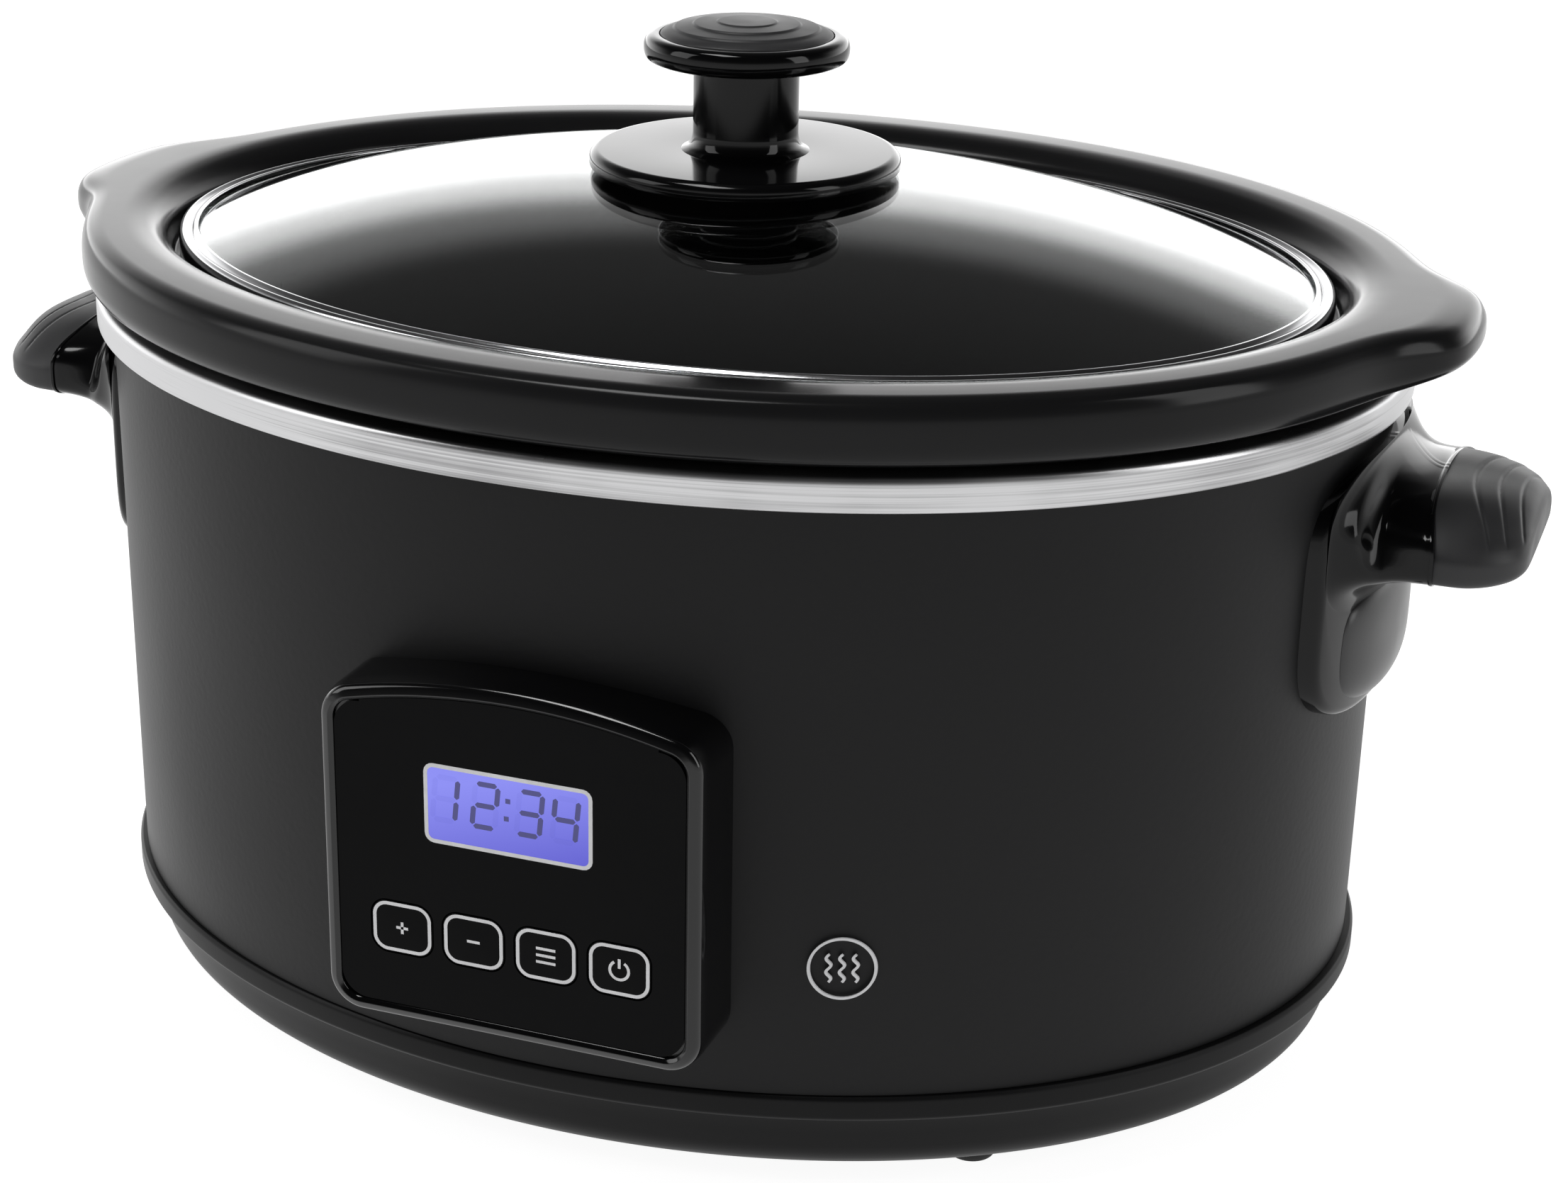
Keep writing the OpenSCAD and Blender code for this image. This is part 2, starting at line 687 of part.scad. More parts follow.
module bracket() {
    difference() {
        union() {
            plate();
            loft([[shell_a - 14, plate_w - 5, band_z - 52, band_z - 10, band_z - 6],
                  [shell_a + 2, plate_w - 7, band_z - 47, band_z - 12, band_z - 7],
                  [shell_a + 6, plate_w - 8, band_z - 40, band_z - 14, band_z - 9],
                  [shell_a + 11, plate_w - 8.5, band_z - 35, band_z - 16, band_z - 11],
                  [collar_x, plate_w - 9, band_z - 34, band_z - 18, band_z - 12]]);
        }
        shell_core(0);
        for (y = [-handle_screw_y, handle_screw_y])
            along_x(shell_a - 10, y, handle_z) cylinder(r = handle_screw_r + screw_gap, h = 22);
    }
}

module grip() {
    reach = tip_x - collar_x;
    w = plate_w - 10;
    loft([[collar_x, w, band_z - 33.5, band_z - 18.5, band_z - 12.5],
          [collar_x + reach * 0.4, w - 1.5, band_z - 33, band_z - 20, band_z - 15],
          [collar_x + reach * 0.75, w - 6, band_z - 32, band_z - 21, band_z - 18],
          [collar_x + reach * 0.93, w - 14, band_z - 31, band_z - 22, band_z - 20],
          [tip_x, w - 22, band_z - 29, band_z - 23, band_z - 22]]);
}

module bracket_left() { color(gloss) mirror([1, 0, 0]) bracket(); }
module bracket_right() { color(gloss) bracket(); }
module grip_left() { color([0.16, 0.16, 0.17]) mirror([1, 0, 0]) grip(); }
module grip_right() { color([0.16, 0.16, 0.17]) grip(); }

// Distance of the shell's inner face from the centre at a distance y off the long axis
function inner_x(y) = (shell_a - shell_t) * sqrt(1 - pow(y / (shell_b - shell_t), 2));

module handle_screws() {
    color(steel) for (s = [0, 1], y = [-handle_screw_y, handle_screw_y])
        mirror([s, 0, 0]) translate([inner_x(handle_screw_y + 4) - 0.2, y, handle_z])
            rotate([0, 90, 0]) pan_screw(handle_screw_r, handle_screw_l, 3.6, 2);
}

module crock() {
    lift = 3;
    color([0.05, 0.05, 0.055])
        cup([ck(crock_low - 14, crock_z), ck(crock_low - 5, crock_z + 2.5), ck(crock_low, crock_z + 14),
             ck(crock_wall, band_top - 6), ck(crock_wall, band_top + fit),
             sh(-3, band_top + fit), concat(sh(2.5, band_top + 2.2), [ear_out * 0.6, lift]),
             concat(sh(rim_out - 1.4, band_top + 3.6), [ear_out * 0.9, lift]),
             concat(sh(rim_out, band_top + 7), [ear_out, lift * 0.8]),
             concat(sh(rim_out - 0.4, rim_top - 4), [ear_out, 0]),
             concat(sh(rim_out - 1.6, rim_top - 1), [ear_out * 0.9, 0]),
             concat(sh(rim_out - 4.2, rim_top), [ear_out * 0.7, 0]),
             mouth(9, 12, rim_top), mouth(4.5, 6.5, rim_top - 1.2), mouth(1.8, 2.6, rim_top - 3.8),
             mouth(0.3, 0.6, rim_top - 7), mouth(0, 0, ledge_z),
             ck(1.6, ledge_z), ck(0.4, ledge_z - 0.6), ck(0, ledge_z - 2.2),
             ck(-crock_taper, crock_z + crock_floor + 16),
             ck(-crock_taper - 5, crock_z + crock_floor + 4),
             ck(-crock_taper - 16, crock_z + crock_floor)]);
}

// Height of the dome's underside at a share u of its half-length
function dome(u) = hoop_z + hoop_t + dome_h * (1 - pow(u, 2.2));

module lid_glass() {
    out = lid_out - 1.2;
    us = [0.06, 0.25, 0.45, 0.65, 0.83, 1];
    m = len(us) - 1;
    color([0.75, 0.8, 0.82, 0.3]) difference() {
        cup(concat([for (u = us) [(cook_a + out) * u, (cook_b + out) * u, dome(u)]],
                   [for (k = [0 : m]) let (u = us[m - k])
                       [(cook_a + out) * u, (cook_b + out) * u, dome(u) + glass_t]]));
        cylinder(r = knob_screw_r + 1.5, h = 400);
    }
}

// Rolled steel rim with a channel for the edge of the glass
module lid_hoop() {
    out = lid_out;
    color(steel) hoop([
        ck(out - 0.6, hoop_z), ck(out, hoop_z + 0.8), ck(out, hoop_z + hoop_h),
        ck(out - 0.9, hoop_z + hoop_h + 1.6), ck(out - 2.4, hoop_z + hoop_h + 2.2),
        ck(out - hoop_w, hoop_z + hoop_h + 2.4), ck(out - hoop_w, hoop_z + hoop_h + 1.8),
        ck(out - 1.1, hoop_z + hoop_h + 0.9), ck(out - 1.1, hoop_z + hoop_t),
        ck(out - hoop_w, hoop_z + hoop_t), ck(out - hoop_w, hoop_z)]);
}

module knob_flange() {
    color(gloss) translate([0, 0, flange_z]) rotate_extrude()
        polygon([[knob_screw_r + 1.2, 0], [flange_r, 0], [flange_r, flange_t - 1],
                 [flange_r - 1, flange_t], [knob_screw_r + 1.2, flange_t]]);
}

module knob_stem() {
    color(gloss) translate([0, 0, stem_z]) difference() {
        rotate_extrude()
            polygon([[0, 0], [stem_r + 2.4, 0], [stem_r + 0.8, 0.8], [stem_r, 2.6],
                     [stem_r, stem_h], [0, stem_h]]);
        translate([0, 0, -1]) cylinder(r = knob_screw_r + screw_gap, h = 13);
    }
}

module knob_cap() {
    color(gloss) translate([0, 0, cap_z]) difference() {
        rotate_extrude()
            polygon([[0, 0], [cap_r - 2.4, 0], [cap_r - 0.6, 0.8], [cap_r, 2.4],
                     [cap_r, cap_h - 1.8], [cap_r - 0.5, cap_h - 0.5], [cap_r - 1.8, cap_h],
                     [0, cap_h]]);
        translate([0, 0, cap_h - cap_pocket]) cylinder(r = cap_r - 4, h = 5);
    }
}

// Soft cap disc with stepped rings
module knob_insert() {
    color([0.16, 0.16, 0.17]) translate([0, 0, cap_z + cap_h - cap_pocket]) rotate_extrude()
        polygon([[0, 0], [cap_r - 4.1, 0], [cap_r - 4.1, cap_pocket + 0.2],
                 [cap_r - 5.6, cap_pocket + 1], [cap_r - 7.4, cap_pocket + 1.4],
                 [cap_r - 7.6, cap_pocket + 1.9], [cap_r - 12.4, cap_pocket + 2.4],
                 [cap_r - 12.6, cap_pocket + 2.8], [cap_r - 18.2, cap_pocket + 3],
                 [cap_r - 18.4, cap_pocket + 3.3], [0, cap_pocket + 3.3]]);
}

washer_z = dome(0.06) - lid_washer_t - fit;

module lid_washer() {
    color([0.3, 0.3, 0.3]) translate([0, 0, washer_z]) difference() {
        cylinder(r = washer_r, h = lid_washer_t);
        translate([0, 0, -1]) cylinder(r = knob_screw_r + 0.2, h = 5);
    }
}

module knob_screw() {
    color(steel) translate([0, 0, washer_z])
        pan_screw(knob_screw_r, stem_z + 10 - washer_z, 5, 2.6);
}

base_tray();
foot(corners[0]);  // foot_1
foot(corners[1]);  // foot_2
foot(corners[2]);  // foot_3
foot(corners[3]);  // foot_4
key(0);  // key_plus
key(1);  // key_minus
key(2);  // key_mode
key(3);  // key_power
base_washer();
base_nut();
shell();
trim_band();
heating_well();
well_stud();
heater_band();
insulation();
sensor_clip();
temp_sensor();
fuse_clip();
thermal_fuse();
power_board();
relay();
capacitor();
terminal_block();
board_screws();
heater_leads();
control_ribbon();
cord_gland();
gland_nut();
control_bezel();
panel_overlay();
lcd_window();
lcd_module();
control_board();
control_screws();
bezel_screws();
key_switches();
bracket_left();
bracket_right();
grip_left();
grip_right();
handle_screws();
crock();
lid_glass();
lid_hoop();
knob_flange();
knob_stem();
knob_cap();
knob_insert();
lid_washer();
knob_screw();
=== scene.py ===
import math

import bpy
import numpy as np
from mathutils import Matrix, Vector


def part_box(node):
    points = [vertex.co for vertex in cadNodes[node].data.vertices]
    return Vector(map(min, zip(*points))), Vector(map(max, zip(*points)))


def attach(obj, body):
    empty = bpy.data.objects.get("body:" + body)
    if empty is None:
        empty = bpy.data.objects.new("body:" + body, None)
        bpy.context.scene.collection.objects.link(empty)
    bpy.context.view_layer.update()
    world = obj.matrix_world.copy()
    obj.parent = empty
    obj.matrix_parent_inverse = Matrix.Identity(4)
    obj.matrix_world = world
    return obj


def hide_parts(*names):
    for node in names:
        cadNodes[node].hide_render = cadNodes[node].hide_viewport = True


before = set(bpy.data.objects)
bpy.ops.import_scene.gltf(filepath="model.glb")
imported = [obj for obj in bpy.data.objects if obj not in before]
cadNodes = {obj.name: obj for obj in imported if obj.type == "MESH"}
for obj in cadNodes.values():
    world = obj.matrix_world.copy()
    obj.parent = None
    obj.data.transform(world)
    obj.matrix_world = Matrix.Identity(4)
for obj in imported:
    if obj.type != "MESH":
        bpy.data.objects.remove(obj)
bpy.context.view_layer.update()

mm = 0.001


# Lowest and highest corner of a CAD node: its box in metres, divided by a millimetre
def boxOf(node):
    low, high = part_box(node)
    return np.array(low) / mm, np.array(high) / mm


shellLow, shellHigh = boxOf("shell")
bandLow, bandHigh = boxOf("trim_band")
crockLow, crockHigh = boxOf("crock")
hoopLow, hoopHigh = boxOf("lid_hoop")
bezelLow = boxOf("control_bezel")[0]
shellA, shellB = shellHigh[0], shellHigh[1]  # half-length and half-width of the shell's oval
bandZ, bandTop = bandLow[2], bandHigh[2]
seamZ, shellTop = shellLow[2], shellHigh[2]
crockZ, rimTop = crockLow[2], crockHigh[2]


finishes = {
    # wander and spread: how far colour and roughness stray; cloud and grain: scales of the two noises
    "trayBlack": dict(colour=(0.0035, 0.0035, 0.0037), wander=0.25, rough=0.4, spread=0.06, shine=0.12,
                      cloud=9, grain=1500, relief=0.00003, strength=0.3),
    "rubber": dict(colour=(0.012, 0.012, 0.012), wander=0.2, rough=0.75, spread=0.08, cloud=40,
                   grain=1800, relief=0.00004, strength=0.5),
    "plainSteel": dict(colour=(0.5, 0.5, 0.51), wander=0.12, rough=0.38, spread=0.08, metal=1.0,
                       cloud=60, grain=900, relief=0.00001, strength=0.3),
    "powderCoat": dict(colour=(0.0048, 0.0048, 0.0051), wander=0.14, rough=0.46, spread=0.06, shine=0.16,
                       cloud=5, grain=620, relief=0.00009, strength=0.3, leather=True),
    "brushedBand": dict(colour=(0.42, 0.42, 0.425), wander=0.3, rough=0.33, spread=0.1, metal=1.0,
                        brushed=0.9, cloud=14, grain=1, relief=0.00002, strength=0.4, stretch=(9, 9, 2100)),
    "wellMetal": dict(colour=(0.56, 0.56, 0.57), wander=0.12, rough=0.36, spread=0.09, metal=1.0,
                      cloud=16, grain=1, relief=0.00001, strength=0.3, stretch=(30, 30, 1400)),
    "heaterFoil": dict(colour=(0.42, 0.42, 0.43), wander=0.2, rough=0.45, spread=0.1, metal=1.0,
                       cloud=25, grain=220, relief=0.00008, strength=0.5),
    "wool": dict(colour=(0.62, 0.58, 0.48), wander=0.25, rough=0.92, spread=0.05, cloud=45,
                 grain=500, relief=0.0004, strength=0.8),
    "sensorBody": dict(colour=(0.6, 0.56, 0.48), wander=0.15, rough=0.5, spread=0.08, cloud=60,
                       grain=900, relief=0.00002, strength=0.3),
    "boardGreen": dict(colour=(0.02, 0.11, 0.05), wander=0.3, rough=0.4, spread=0.08, cloud=120,
                       grain=700, relief=0.00002, strength=0.3),
    "component": dict(colour=(0.05, 0.06, 0.16), wander=0.2, rough=0.45, spread=0.08, cloud=80,
                      grain=900, relief=0.00002, strength=0.3),
    "leadSleeve": dict(colour=(0.35, 0.3, 0.27), wander=0.2, rough=0.6, spread=0.08, cloud=60,
                       grain=900, relief=0.00003, strength=0.3),
    "panelGloss": dict(colour=(0.0018, 0.0018, 0.002), wander=0.2, rough=0.1, spread=0.03, shine=0.42,
                       cloud=14, grain=90, relief=0.000004, strength=0.2),
    "overlayGloss": dict(colour=(0.002, 0.002, 0.0022), wander=0.2, rough=0.18, spread=0.04, shine=0.05,
                         cloud=22, grain=260, relief=0.000004, strength=0.2),
    "bracketGloss": dict(colour=(0.0022, 0.0022, 0.0024), wander=0.2, rough=0.1, spread=0.04, shine=0.2,
                         cloud=30, grain=160, relief=0.000008, strength=0.25),
    "padSatin": dict(colour=(0.012, 0.012, 0.0125), wander=0.2, rough=0.34, spread=0.05, cloud=40,
                     grain=1500, relief=0.00002, strength=0.3),
    "softGrip": dict(colour=(0.021, 0.021, 0.022), wander=0.18, rough=0.46, spread=0.06, shine=0.28,
                     cloud=60, grain=2400, relief=0.00003, strength=0.45),
    "glaze": dict(colour=(0.0075, 0.0075, 0.0078), wander=0.25, rough=0.18, spread=0.05, shine=0.13,
                  cloud=9, grain=24, relief=0.0002, strength=0.3),
    "lidSteel": dict(colour=(0.52, 0.52, 0.53), wander=0.06, rough=0.14, spread=0.05, metal=1.0,
                     cloud=20, grain=1, relief=0.000006, strength=0.3, stretch=(14, 14, 900)),
    "clearGlass": dict(colour=(0.9, 0.92, 0.92), wander=0.03, rough=0.012, spread=0.01, glass=1.0,
                       bend=1.75, cloud=12, grain=18, relief=0.000001, strength=0.02),
    "silicone": dict(colour=(0.14, 0.14, 0.14), wander=0.15, rough=0.65, spread=0.07, cloud=60,
                     grain=1500, relief=0.00003, strength=0.3),
    "printGrey": dict(colour=(0.56, 0.56, 0.57), wander=0.08, rough=0.5, spread=0.06, cloud=300,
                      grain=2500, relief=0.00001, strength=0.3),
}


# Sets a node's inputs: one given as another node's output is linked to it, any other takes the value
def setInputs(tree, node, inputs):
    for key, value in inputs.items():
        if isinstance(value, bpy.types.NodeSocket):
            tree.links.new(value, node.inputs[key])
        else:
            node.inputs[key].default_value = value


# A new node of a kind, with its settings and then its inputs
def addNode(tree, kind, inputs, **settings):
    node = tree.nodes.new("ShaderNode" + kind)
    for key, value in settings.items():
        setattr(node, key, value)
    setInputs(tree, node, inputs)
    return node


# A ramp that blends between colours at given places along its input; returns its colour
def addRamp(tree, factor, spots, blending="LINEAR"):
    node = addNode(tree, "ValToRGB", {"Fac": factor})
    ramp = node.color_ramp
    ramp.interpolation = blending
    for element, (place, colour) in zip(ramp.elements, (spots[0], spots[-1])):
        element.position = place
        element.color = (*colour, 1)
    for place, colour in spots[1:-1]:
        ramp.elements.new(place).color = (*colour, 1)
    return node.outputs["Color"]


# A new material, its node tree and its main shader
def newMaterial(name):
    material = bpy.data.materials.new(name)
    material.use_nodes = True
    return material, material.node_tree, material.node_tree.nodes["Principled BSDF"]


# Colour and roughness follow a broad noise, from (1 - wander) to (1 + wander) times the colour and from
# rough - spread to rough + spread; a fine noise, which may be stretched, adds to the colour and is the relief
def makeFinish(name, look):
    material, tree, shader = newMaterial(name)
    coords = addNode(tree, "TexCoord", {}).outputs["Object"]
    placed = addNode(tree, "Mapping", {"Scale": look.get("stretch", (1, 1, 1)), "Vector": coords})
    cloud = addNode(tree, "TexNoise", {"Scale": look["cloud"], "Detail": 3, "Vector": coords}).outputs["Fac"]
    grain = addNode(tree, "TexNoise", {"Scale": look["grain"], "Detail": 3,
                                       "Vector": placed.outputs["Vector"]}).outputs["Fac"]
    weight = look.get("brushed", 0.35)  # how much of the fine grain shows in the colour
    blend = addNode(tree, "Math", {0: grain, 1: weight, 2: cloud}, operation="MULTIPLY_ADD").outputs[0]
    middle, reach = 0.5 + 0.5 * weight, 0.27
    colour = np.array(look["colour"])
    tone = addRamp(tree, blend, ((middle - reach, colour * (1 - look["wander"])),
                                 (min(middle + reach, 1), np.minimum(colour * (1 + look["wander"]), 1))))
    rough = addNode(tree, "MapRange", {"From Min": 0.3, "From Max": 0.7, "Value": cloud,
                                       "To Min": look["rough"] - look["spread"],
                                       "To Max": look["rough"] + look["spread"]})
    height = grain
    if look.get("leather"):
        cells = addNode(tree, "TexVoronoi", {"Scale": look["grain"], "Vector": coords}, feature="SMOOTH_F1")
        height = addNode(tree, "Math", {0: cells.outputs["Distance"], 1: grain}, operation="ADD").outputs[0]
    bump = addNode(tree, "Bump", {"Strength": look["strength"], "Distance": look["relief"], "Height": height})
    setInputs(tree, shader, {
        "Base Color": tone, "Roughness": rough.outputs["Result"], "Normal": bump.outputs["Normal"],
        "Metallic": look.get("metal", 0.0), "Transmission Weight": look.get("glass", 0.0),
        "Specular IOR Level": look.get("shine", 0.5), "IOR": look.get("bend", 1.5)})
    return material


paint = {name: makeFinish(name, look) for name, look in finishes.items()}


# A lit display: a deep to a bright tone, by 0.65 of the height plus up to 0.35 towards the left
def makeGlow(name, bright, deep, low, high, power):
    material, tree, shader = newMaterial(name)
    coords = addNode(tree, "TexCoord", {}).outputs["Object"]
    parts = addNode(tree, "SeparateXYZ", {"Vector": coords}).outputs
    height = addNode(tree, "MapRange", {"From Min": low[2] * mm, "From Max": high[2] * mm,
                                        "Value": parts["Z"]})
    across = addNode(tree, "MapRange", {"From Min": high[0] * mm, "From Max": low[0] * mm, "To Max": 0.35,
                                        "Value": parts["X"]})
    both = addNode(tree, "Math", {0: height.outputs["Result"], 1: 0.65, 2: across.outputs["Result"]},
                   operation="MULTIPLY_ADD").outputs[0]
    setInputs(tree, shader, {
        "Emission Color": addRamp(tree, both, ((0, deep), (0.8, bright))), "Emission Strength": power,
        "Base Color": (0.02, 0.02, 0.05, 1), "Roughness": 0.18})
    return material


print("finishes made:", len(paint))


# Every corner of a path becomes a quadratic curve that starts and ends "cut" away from it on both sides:
# (1 - s)^2 of its start, 2 s (1 - s) of the corner and s^2 of its end
def softPath(points, cut, steps=5, closed=False):
    corner = np.asarray(points, float)
    cuts = np.broadcast_to(np.asarray(cut, float), len(corner))
    back = np.roll(corner, 1, axis=0) - corner
    ahead = np.roll(corner, -1, axis=0) - corner
    backLong = np.maximum(np.linalg.norm(back[:, :3], axis=1), 1e-6)
    aheadLong = np.maximum(np.linalg.norm(ahead[:, :3], axis=1), 1e-6)
    reach = np.minimum(cuts, 0.48 * np.minimum(backLong, aheadLong))
    start = corner + back * (reach / backLong)[:, None]
    end = corner + ahead * (reach / aheadLong)[:, None]
    s = np.linspace(0, 1, steps)[None, :, None]
    curve = (1 - s) ** 2 * start[:, None] + 2 * s * (1 - s) * corner[:, None] + s ** 2 * end[:, None]
    if closed:
        return curve.reshape(-1, corner.shape[1])
    return np.concatenate([corner[:1], curve[1:-1].reshape(-1, corner.shape[1]), corner[-1:]])


# A smooth line through whole rows of values: each span is the Catmull-Rom cubic of its four nearest rows
def throughRows(rows, count):
    knots = np.asarray(rows, float)
    ends = np.concatenate([2 * knots[:1] - knots[1:2], knots, 2 * knots[-1:] - knots[-2:-1]])
    along = np.linspace(0, len(knots) - 1, count)
    span = np.minimum(along.astype(int), len(knots) - 2)
    s = (along - span)[:, None]
    a, b, c, d = ends[span], ends[span + 1], ends[span + 2], ends[span + 3]
    return 0.5 * (2 * b + (c - a) * s + (2 * a - 5 * b + 4 * c - d) * s ** 2
                  + (3 * b - a - 3 * c + d) * s ** 3)


# Moves the points of a closed curve so that they lie at even steps of its length
def evenly(curve, count):
    loop = np.concatenate([curve, curve[:1]])
    run = np.concatenate([[0], np.cumsum(np.linalg.norm(np.diff(loop, axis=0), axis=1))])
    steps = np.linspace(0, run[-1], count, endpoint=False)
    return np.stack([np.interp(steps, run, axis) for axis in loop.T], -1)


# Outward direction at each point of a flat line: its direction (its neighbours' difference) turned clockwise
def sideways(line, closed=True):
    if closed:
        along = np.roll(line, -1, axis=0) - np.roll(line, 1, axis=0)
    else:
        along = np.gradient(line, axis=0)
    along /= np.linalg.norm(along, axis=1)[:, None]
    return np.stack([along[:, 1], -along[:, 0]], -1)


# Faces of a grid of rings: each joins a point, the next one round and the two beside them in the next ring
def gridFaces(rows, cols, closeRows=False):
    row, col = np.meshgrid(np.arange(rows if closeRows else rows - 1), np.arange(cols), indexing="ij")
    row, col = row.ravel(), col.ravel()
    nextRow, nextCol = (row + 1) % rows, (col + 1) % cols
    return np.stack([row * cols + col, row * cols + nextCol,
                     nextRow * cols + nextCol, nextRow * cols + col], -1)


# A grid of rings as a closed mesh: its last ring joins its first, or each end is a fan to its mean point
def surfaceData(grid, closeRows=False):
    rows, cols = grid.shape[:2]
    points = grid.reshape(-1, 3)
    faces = gridFaces(rows, cols, closeRows).tolist()
    if not closeRows:
        near = np.arange(cols)
        far = (near + 1) % cols
        last = (rows - 1) * cols
        points = np.concatenate([points, grid[0].mean(0)[None], grid[-1].mean(0)[None]])
        faces += np.stack([far, near, np.full(cols, rows * cols)], -1).tolist()
        faces += np.stack([last + near, last + far, np.full(cols, rows * cols + 1)], -1).tolist()
    return points, [tuple(face) for face in faces]


# Several meshes as one: each mesh's point numbers go up by the count of points before it
def joinData(*items):
    points, faces, start = [], [], 0
    for own, sides in items:
        points.append(own)
        faces += [tuple(number + start for number in face) for face in sides]
        start += len(own)
    return np.concatenate(points), faces


# Volume inside a closed mesh: the sum of the signed tetrahedra from the origin to its triangles
def signedVolume(points, faces):
    quads = np.array([face if len(face) == 4 else (*face, face[0]) for face in faces])
    a, b, c, d = (points[quads[:, i]] for i in range(4))
    return (np.einsum("ij,ij->i", a, np.cross(b, c)) + np.einsum("ij,ij->i", a, np.cross(c, d))).sum()


# A mesh object in the scene from points in millimetres; its faces turn over if its volume is below zero
def meshObject(name, data):
    points, faces = data
    if signedVolume(points, faces) < 0:
        faces = [face[::-1] for face in faces]
    mesh = bpy.data.meshes.new(name)
    mesh.from_pydata((points * mm).tolist(), [], faces)
    item = bpy.data.objects.new(name, mesh)
    bpy.context.scene.collection.objects.link(item)
    return item


made = []


# A finished piece that rides on a body: smooth, but sharp where faces meet at more than "sharp" degrees
def addPiece(name, data, body, finish, stands=(), sharp=40):
    piece = meshObject(name, data)
    mesh = piece.data
    mesh.polygons.foreach_set("use_smooth", np.ones(len(mesh.polygons), bool))
    mesh.set_sharp_from_angle(angle=math.radians(sharp))
    mesh.update()
    mesh.materials.append(paint[finish])
    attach(piece, body)
    if stands:
        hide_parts(*stands)
    made.append(piece)
    return piece


# Rings of an oval: x = half-length x cos t, y = half-width x sin t; near the ends an ear reaches out by a
# flat-topped bell of y, and may lift the ring
def ovalRings(path, count=384, earWide=28.0):
    a, b, z, reach, lift = np.asarray(path, float).T[:, :, None]
    t = np.linspace(0, 2 * math.pi, count, endpoint=False)[None]
    y = b * np.sin(t)
    bell = np.abs(np.cos(t)) / (1 + (np.abs(y) / earWide) ** 6)
    return np.stack([(a + reach * bell) * np.cos(t), y, z + lift * bell], -1)


# A turned shape: each point of the profile, radius and height, goes round the upright axis
def turned(profile, count=160, at=(0, 0)):
    radius, z = np.asarray(profile, float).T[:, :, None]
    t = np.linspace(0, 2 * math.pi, count, endpoint=False)[None]
    return np.stack([at[0] + radius * np.cos(t), at[1] + radius * np.sin(t), z + 0 * t], -1)


# A profile row of the shell: both half-axes plus a step outwards, at a height z, with an ear's reach and lift
def shellRow(out, z, reach=0, lift=0):
    return (shellA + out, shellB + out, z, reach, lift)


shell = dict(sheet=0.8, drawIn=(0.6, 1.4))  # drawIn: how much the half-axes are less at the foot


# A profile row of the shell's foot: both half-axes less their draw-in, plus a step outwards
def footRow(out, z):
    return (shellA - shell["drawIn"][0] + out, shellB - shell["drawIn"][1] + out, z, 0, 0)


sheet = shell["sheet"]
shellRows = softPath([footRow(0, seamZ), shellRow(0, bandZ), shellRow(0, shellTop),
                      shellRow(-sheet, shellTop), shellRow(-sheet, bandZ), footRow(-sheet, seamZ)],
                     [0.3, 0.1, 0.3, 0.3, 0.1, 0.3], 3, closed=True)
addPiece("shellSkin", surfaceData(ovalRings(shellRows), closeRows=True), "housing", "powderCoat",
         ["shell"])

band = dict(out=4.0, flange=1.7, inward=8.0, topRound=2.4, lowRound=0.9, gap=0.1)
flangeUnder = bandTop - band["flange"]
bandRows = softPath([shellRow(band["gap"], bandZ), shellRow(band["out"], bandZ),
                     shellRow(band["out"], bandTop), shellRow(-band["inward"], bandTop),
                     shellRow(-band["inward"], flangeUnder),
                     shellRow(band["gap"], flangeUnder)],
                    [0.3, band["lowRound"], band["topRound"], 0.5, 0.5, 0.3], 8, closed=True)
addPiece("brushedBand", surfaceData(ovalRings(bandRows), closeRows=True), "housing",
         "brushedBand", ["trim_band"])

base = dict(lipOut=(2.2, 0.8), lipTall=6.4, wall=2.5, dishIn=13.4, standing=4.5, middle=14, pocketRadius=11.9,
            pocketDeep=2.1)
bottom = base["standing"]
floorTop = bottom + base["wall"]
lipZ = seamZ - base["lipTall"]


# A profile row of the tray: the foot's half-axes plus the lip's, less a step inwards
def trayRow(inset, z):
    long, wide = base["lipOut"]
    return (shellA - shell["drawIn"][0] + long - inset, shellB - shell["drawIn"][1] + wide - inset, z, 0, 0)


trayRows = [(base["middle"], base["middle"], bottom, 0, 0), trayRow(base["dishIn"] + 20, bottom),
            trayRow(base["dishIn"], bottom), trayRow(8.4, bottom + 2.3), trayRow(5.6, bottom + 6),
            trayRow(3.8, lipZ - 4), trayRow(2.7, lipZ - 0.3), trayRow(0.5, lipZ + 0.1),
            trayRow(0, lipZ + 0.9), trayRow(0, seamZ - 1.0), trayRow(0.6, seamZ - 0.1),
            footRow(-0.9, seamZ - 0.1), footRow(-0.9, seamZ + 4), footRow(-3.4, seamZ + 4),
            footRow(-3.4, lipZ + 2), trayRow(7.5, bottom + 7), trayRow(11.5, floorTop),
            (base["middle"] + 1, base["middle"] + 1, floorTop, 0, 0)]
trayRows = softPath(trayRows, [0, 1, 4, 3, 3, 3, 0.8, 0.4, 0.4, 0.5, 0.3, 0.3, 0.5, 0.5, 2, 2, 2, 0], 5)
trayPiece = addPiece("baseTray", surfaceData(ovalRings(trayRows)), "housing", "trayBlack",
                     ["base_tray"])


# A closed box from its lowest and highest corners: a lower and an upper ring of four, with two caps
def boxData(low, high):
    (x0, y0, z0), (x1, y1, z1) = low, high
    ring = np.array([[x0, y0], [x1, y0], [x1, y1], [x0, y1]], float)
    points = np.concatenate([np.c_[ring, np.full(4, z0)], np.c_[ring, np.full(4, z1)]])
    return points, [tuple(face) for face in gridFaces(2, 4).tolist()] + [(3, 2, 1, 0), (4, 5, 6, 7)]


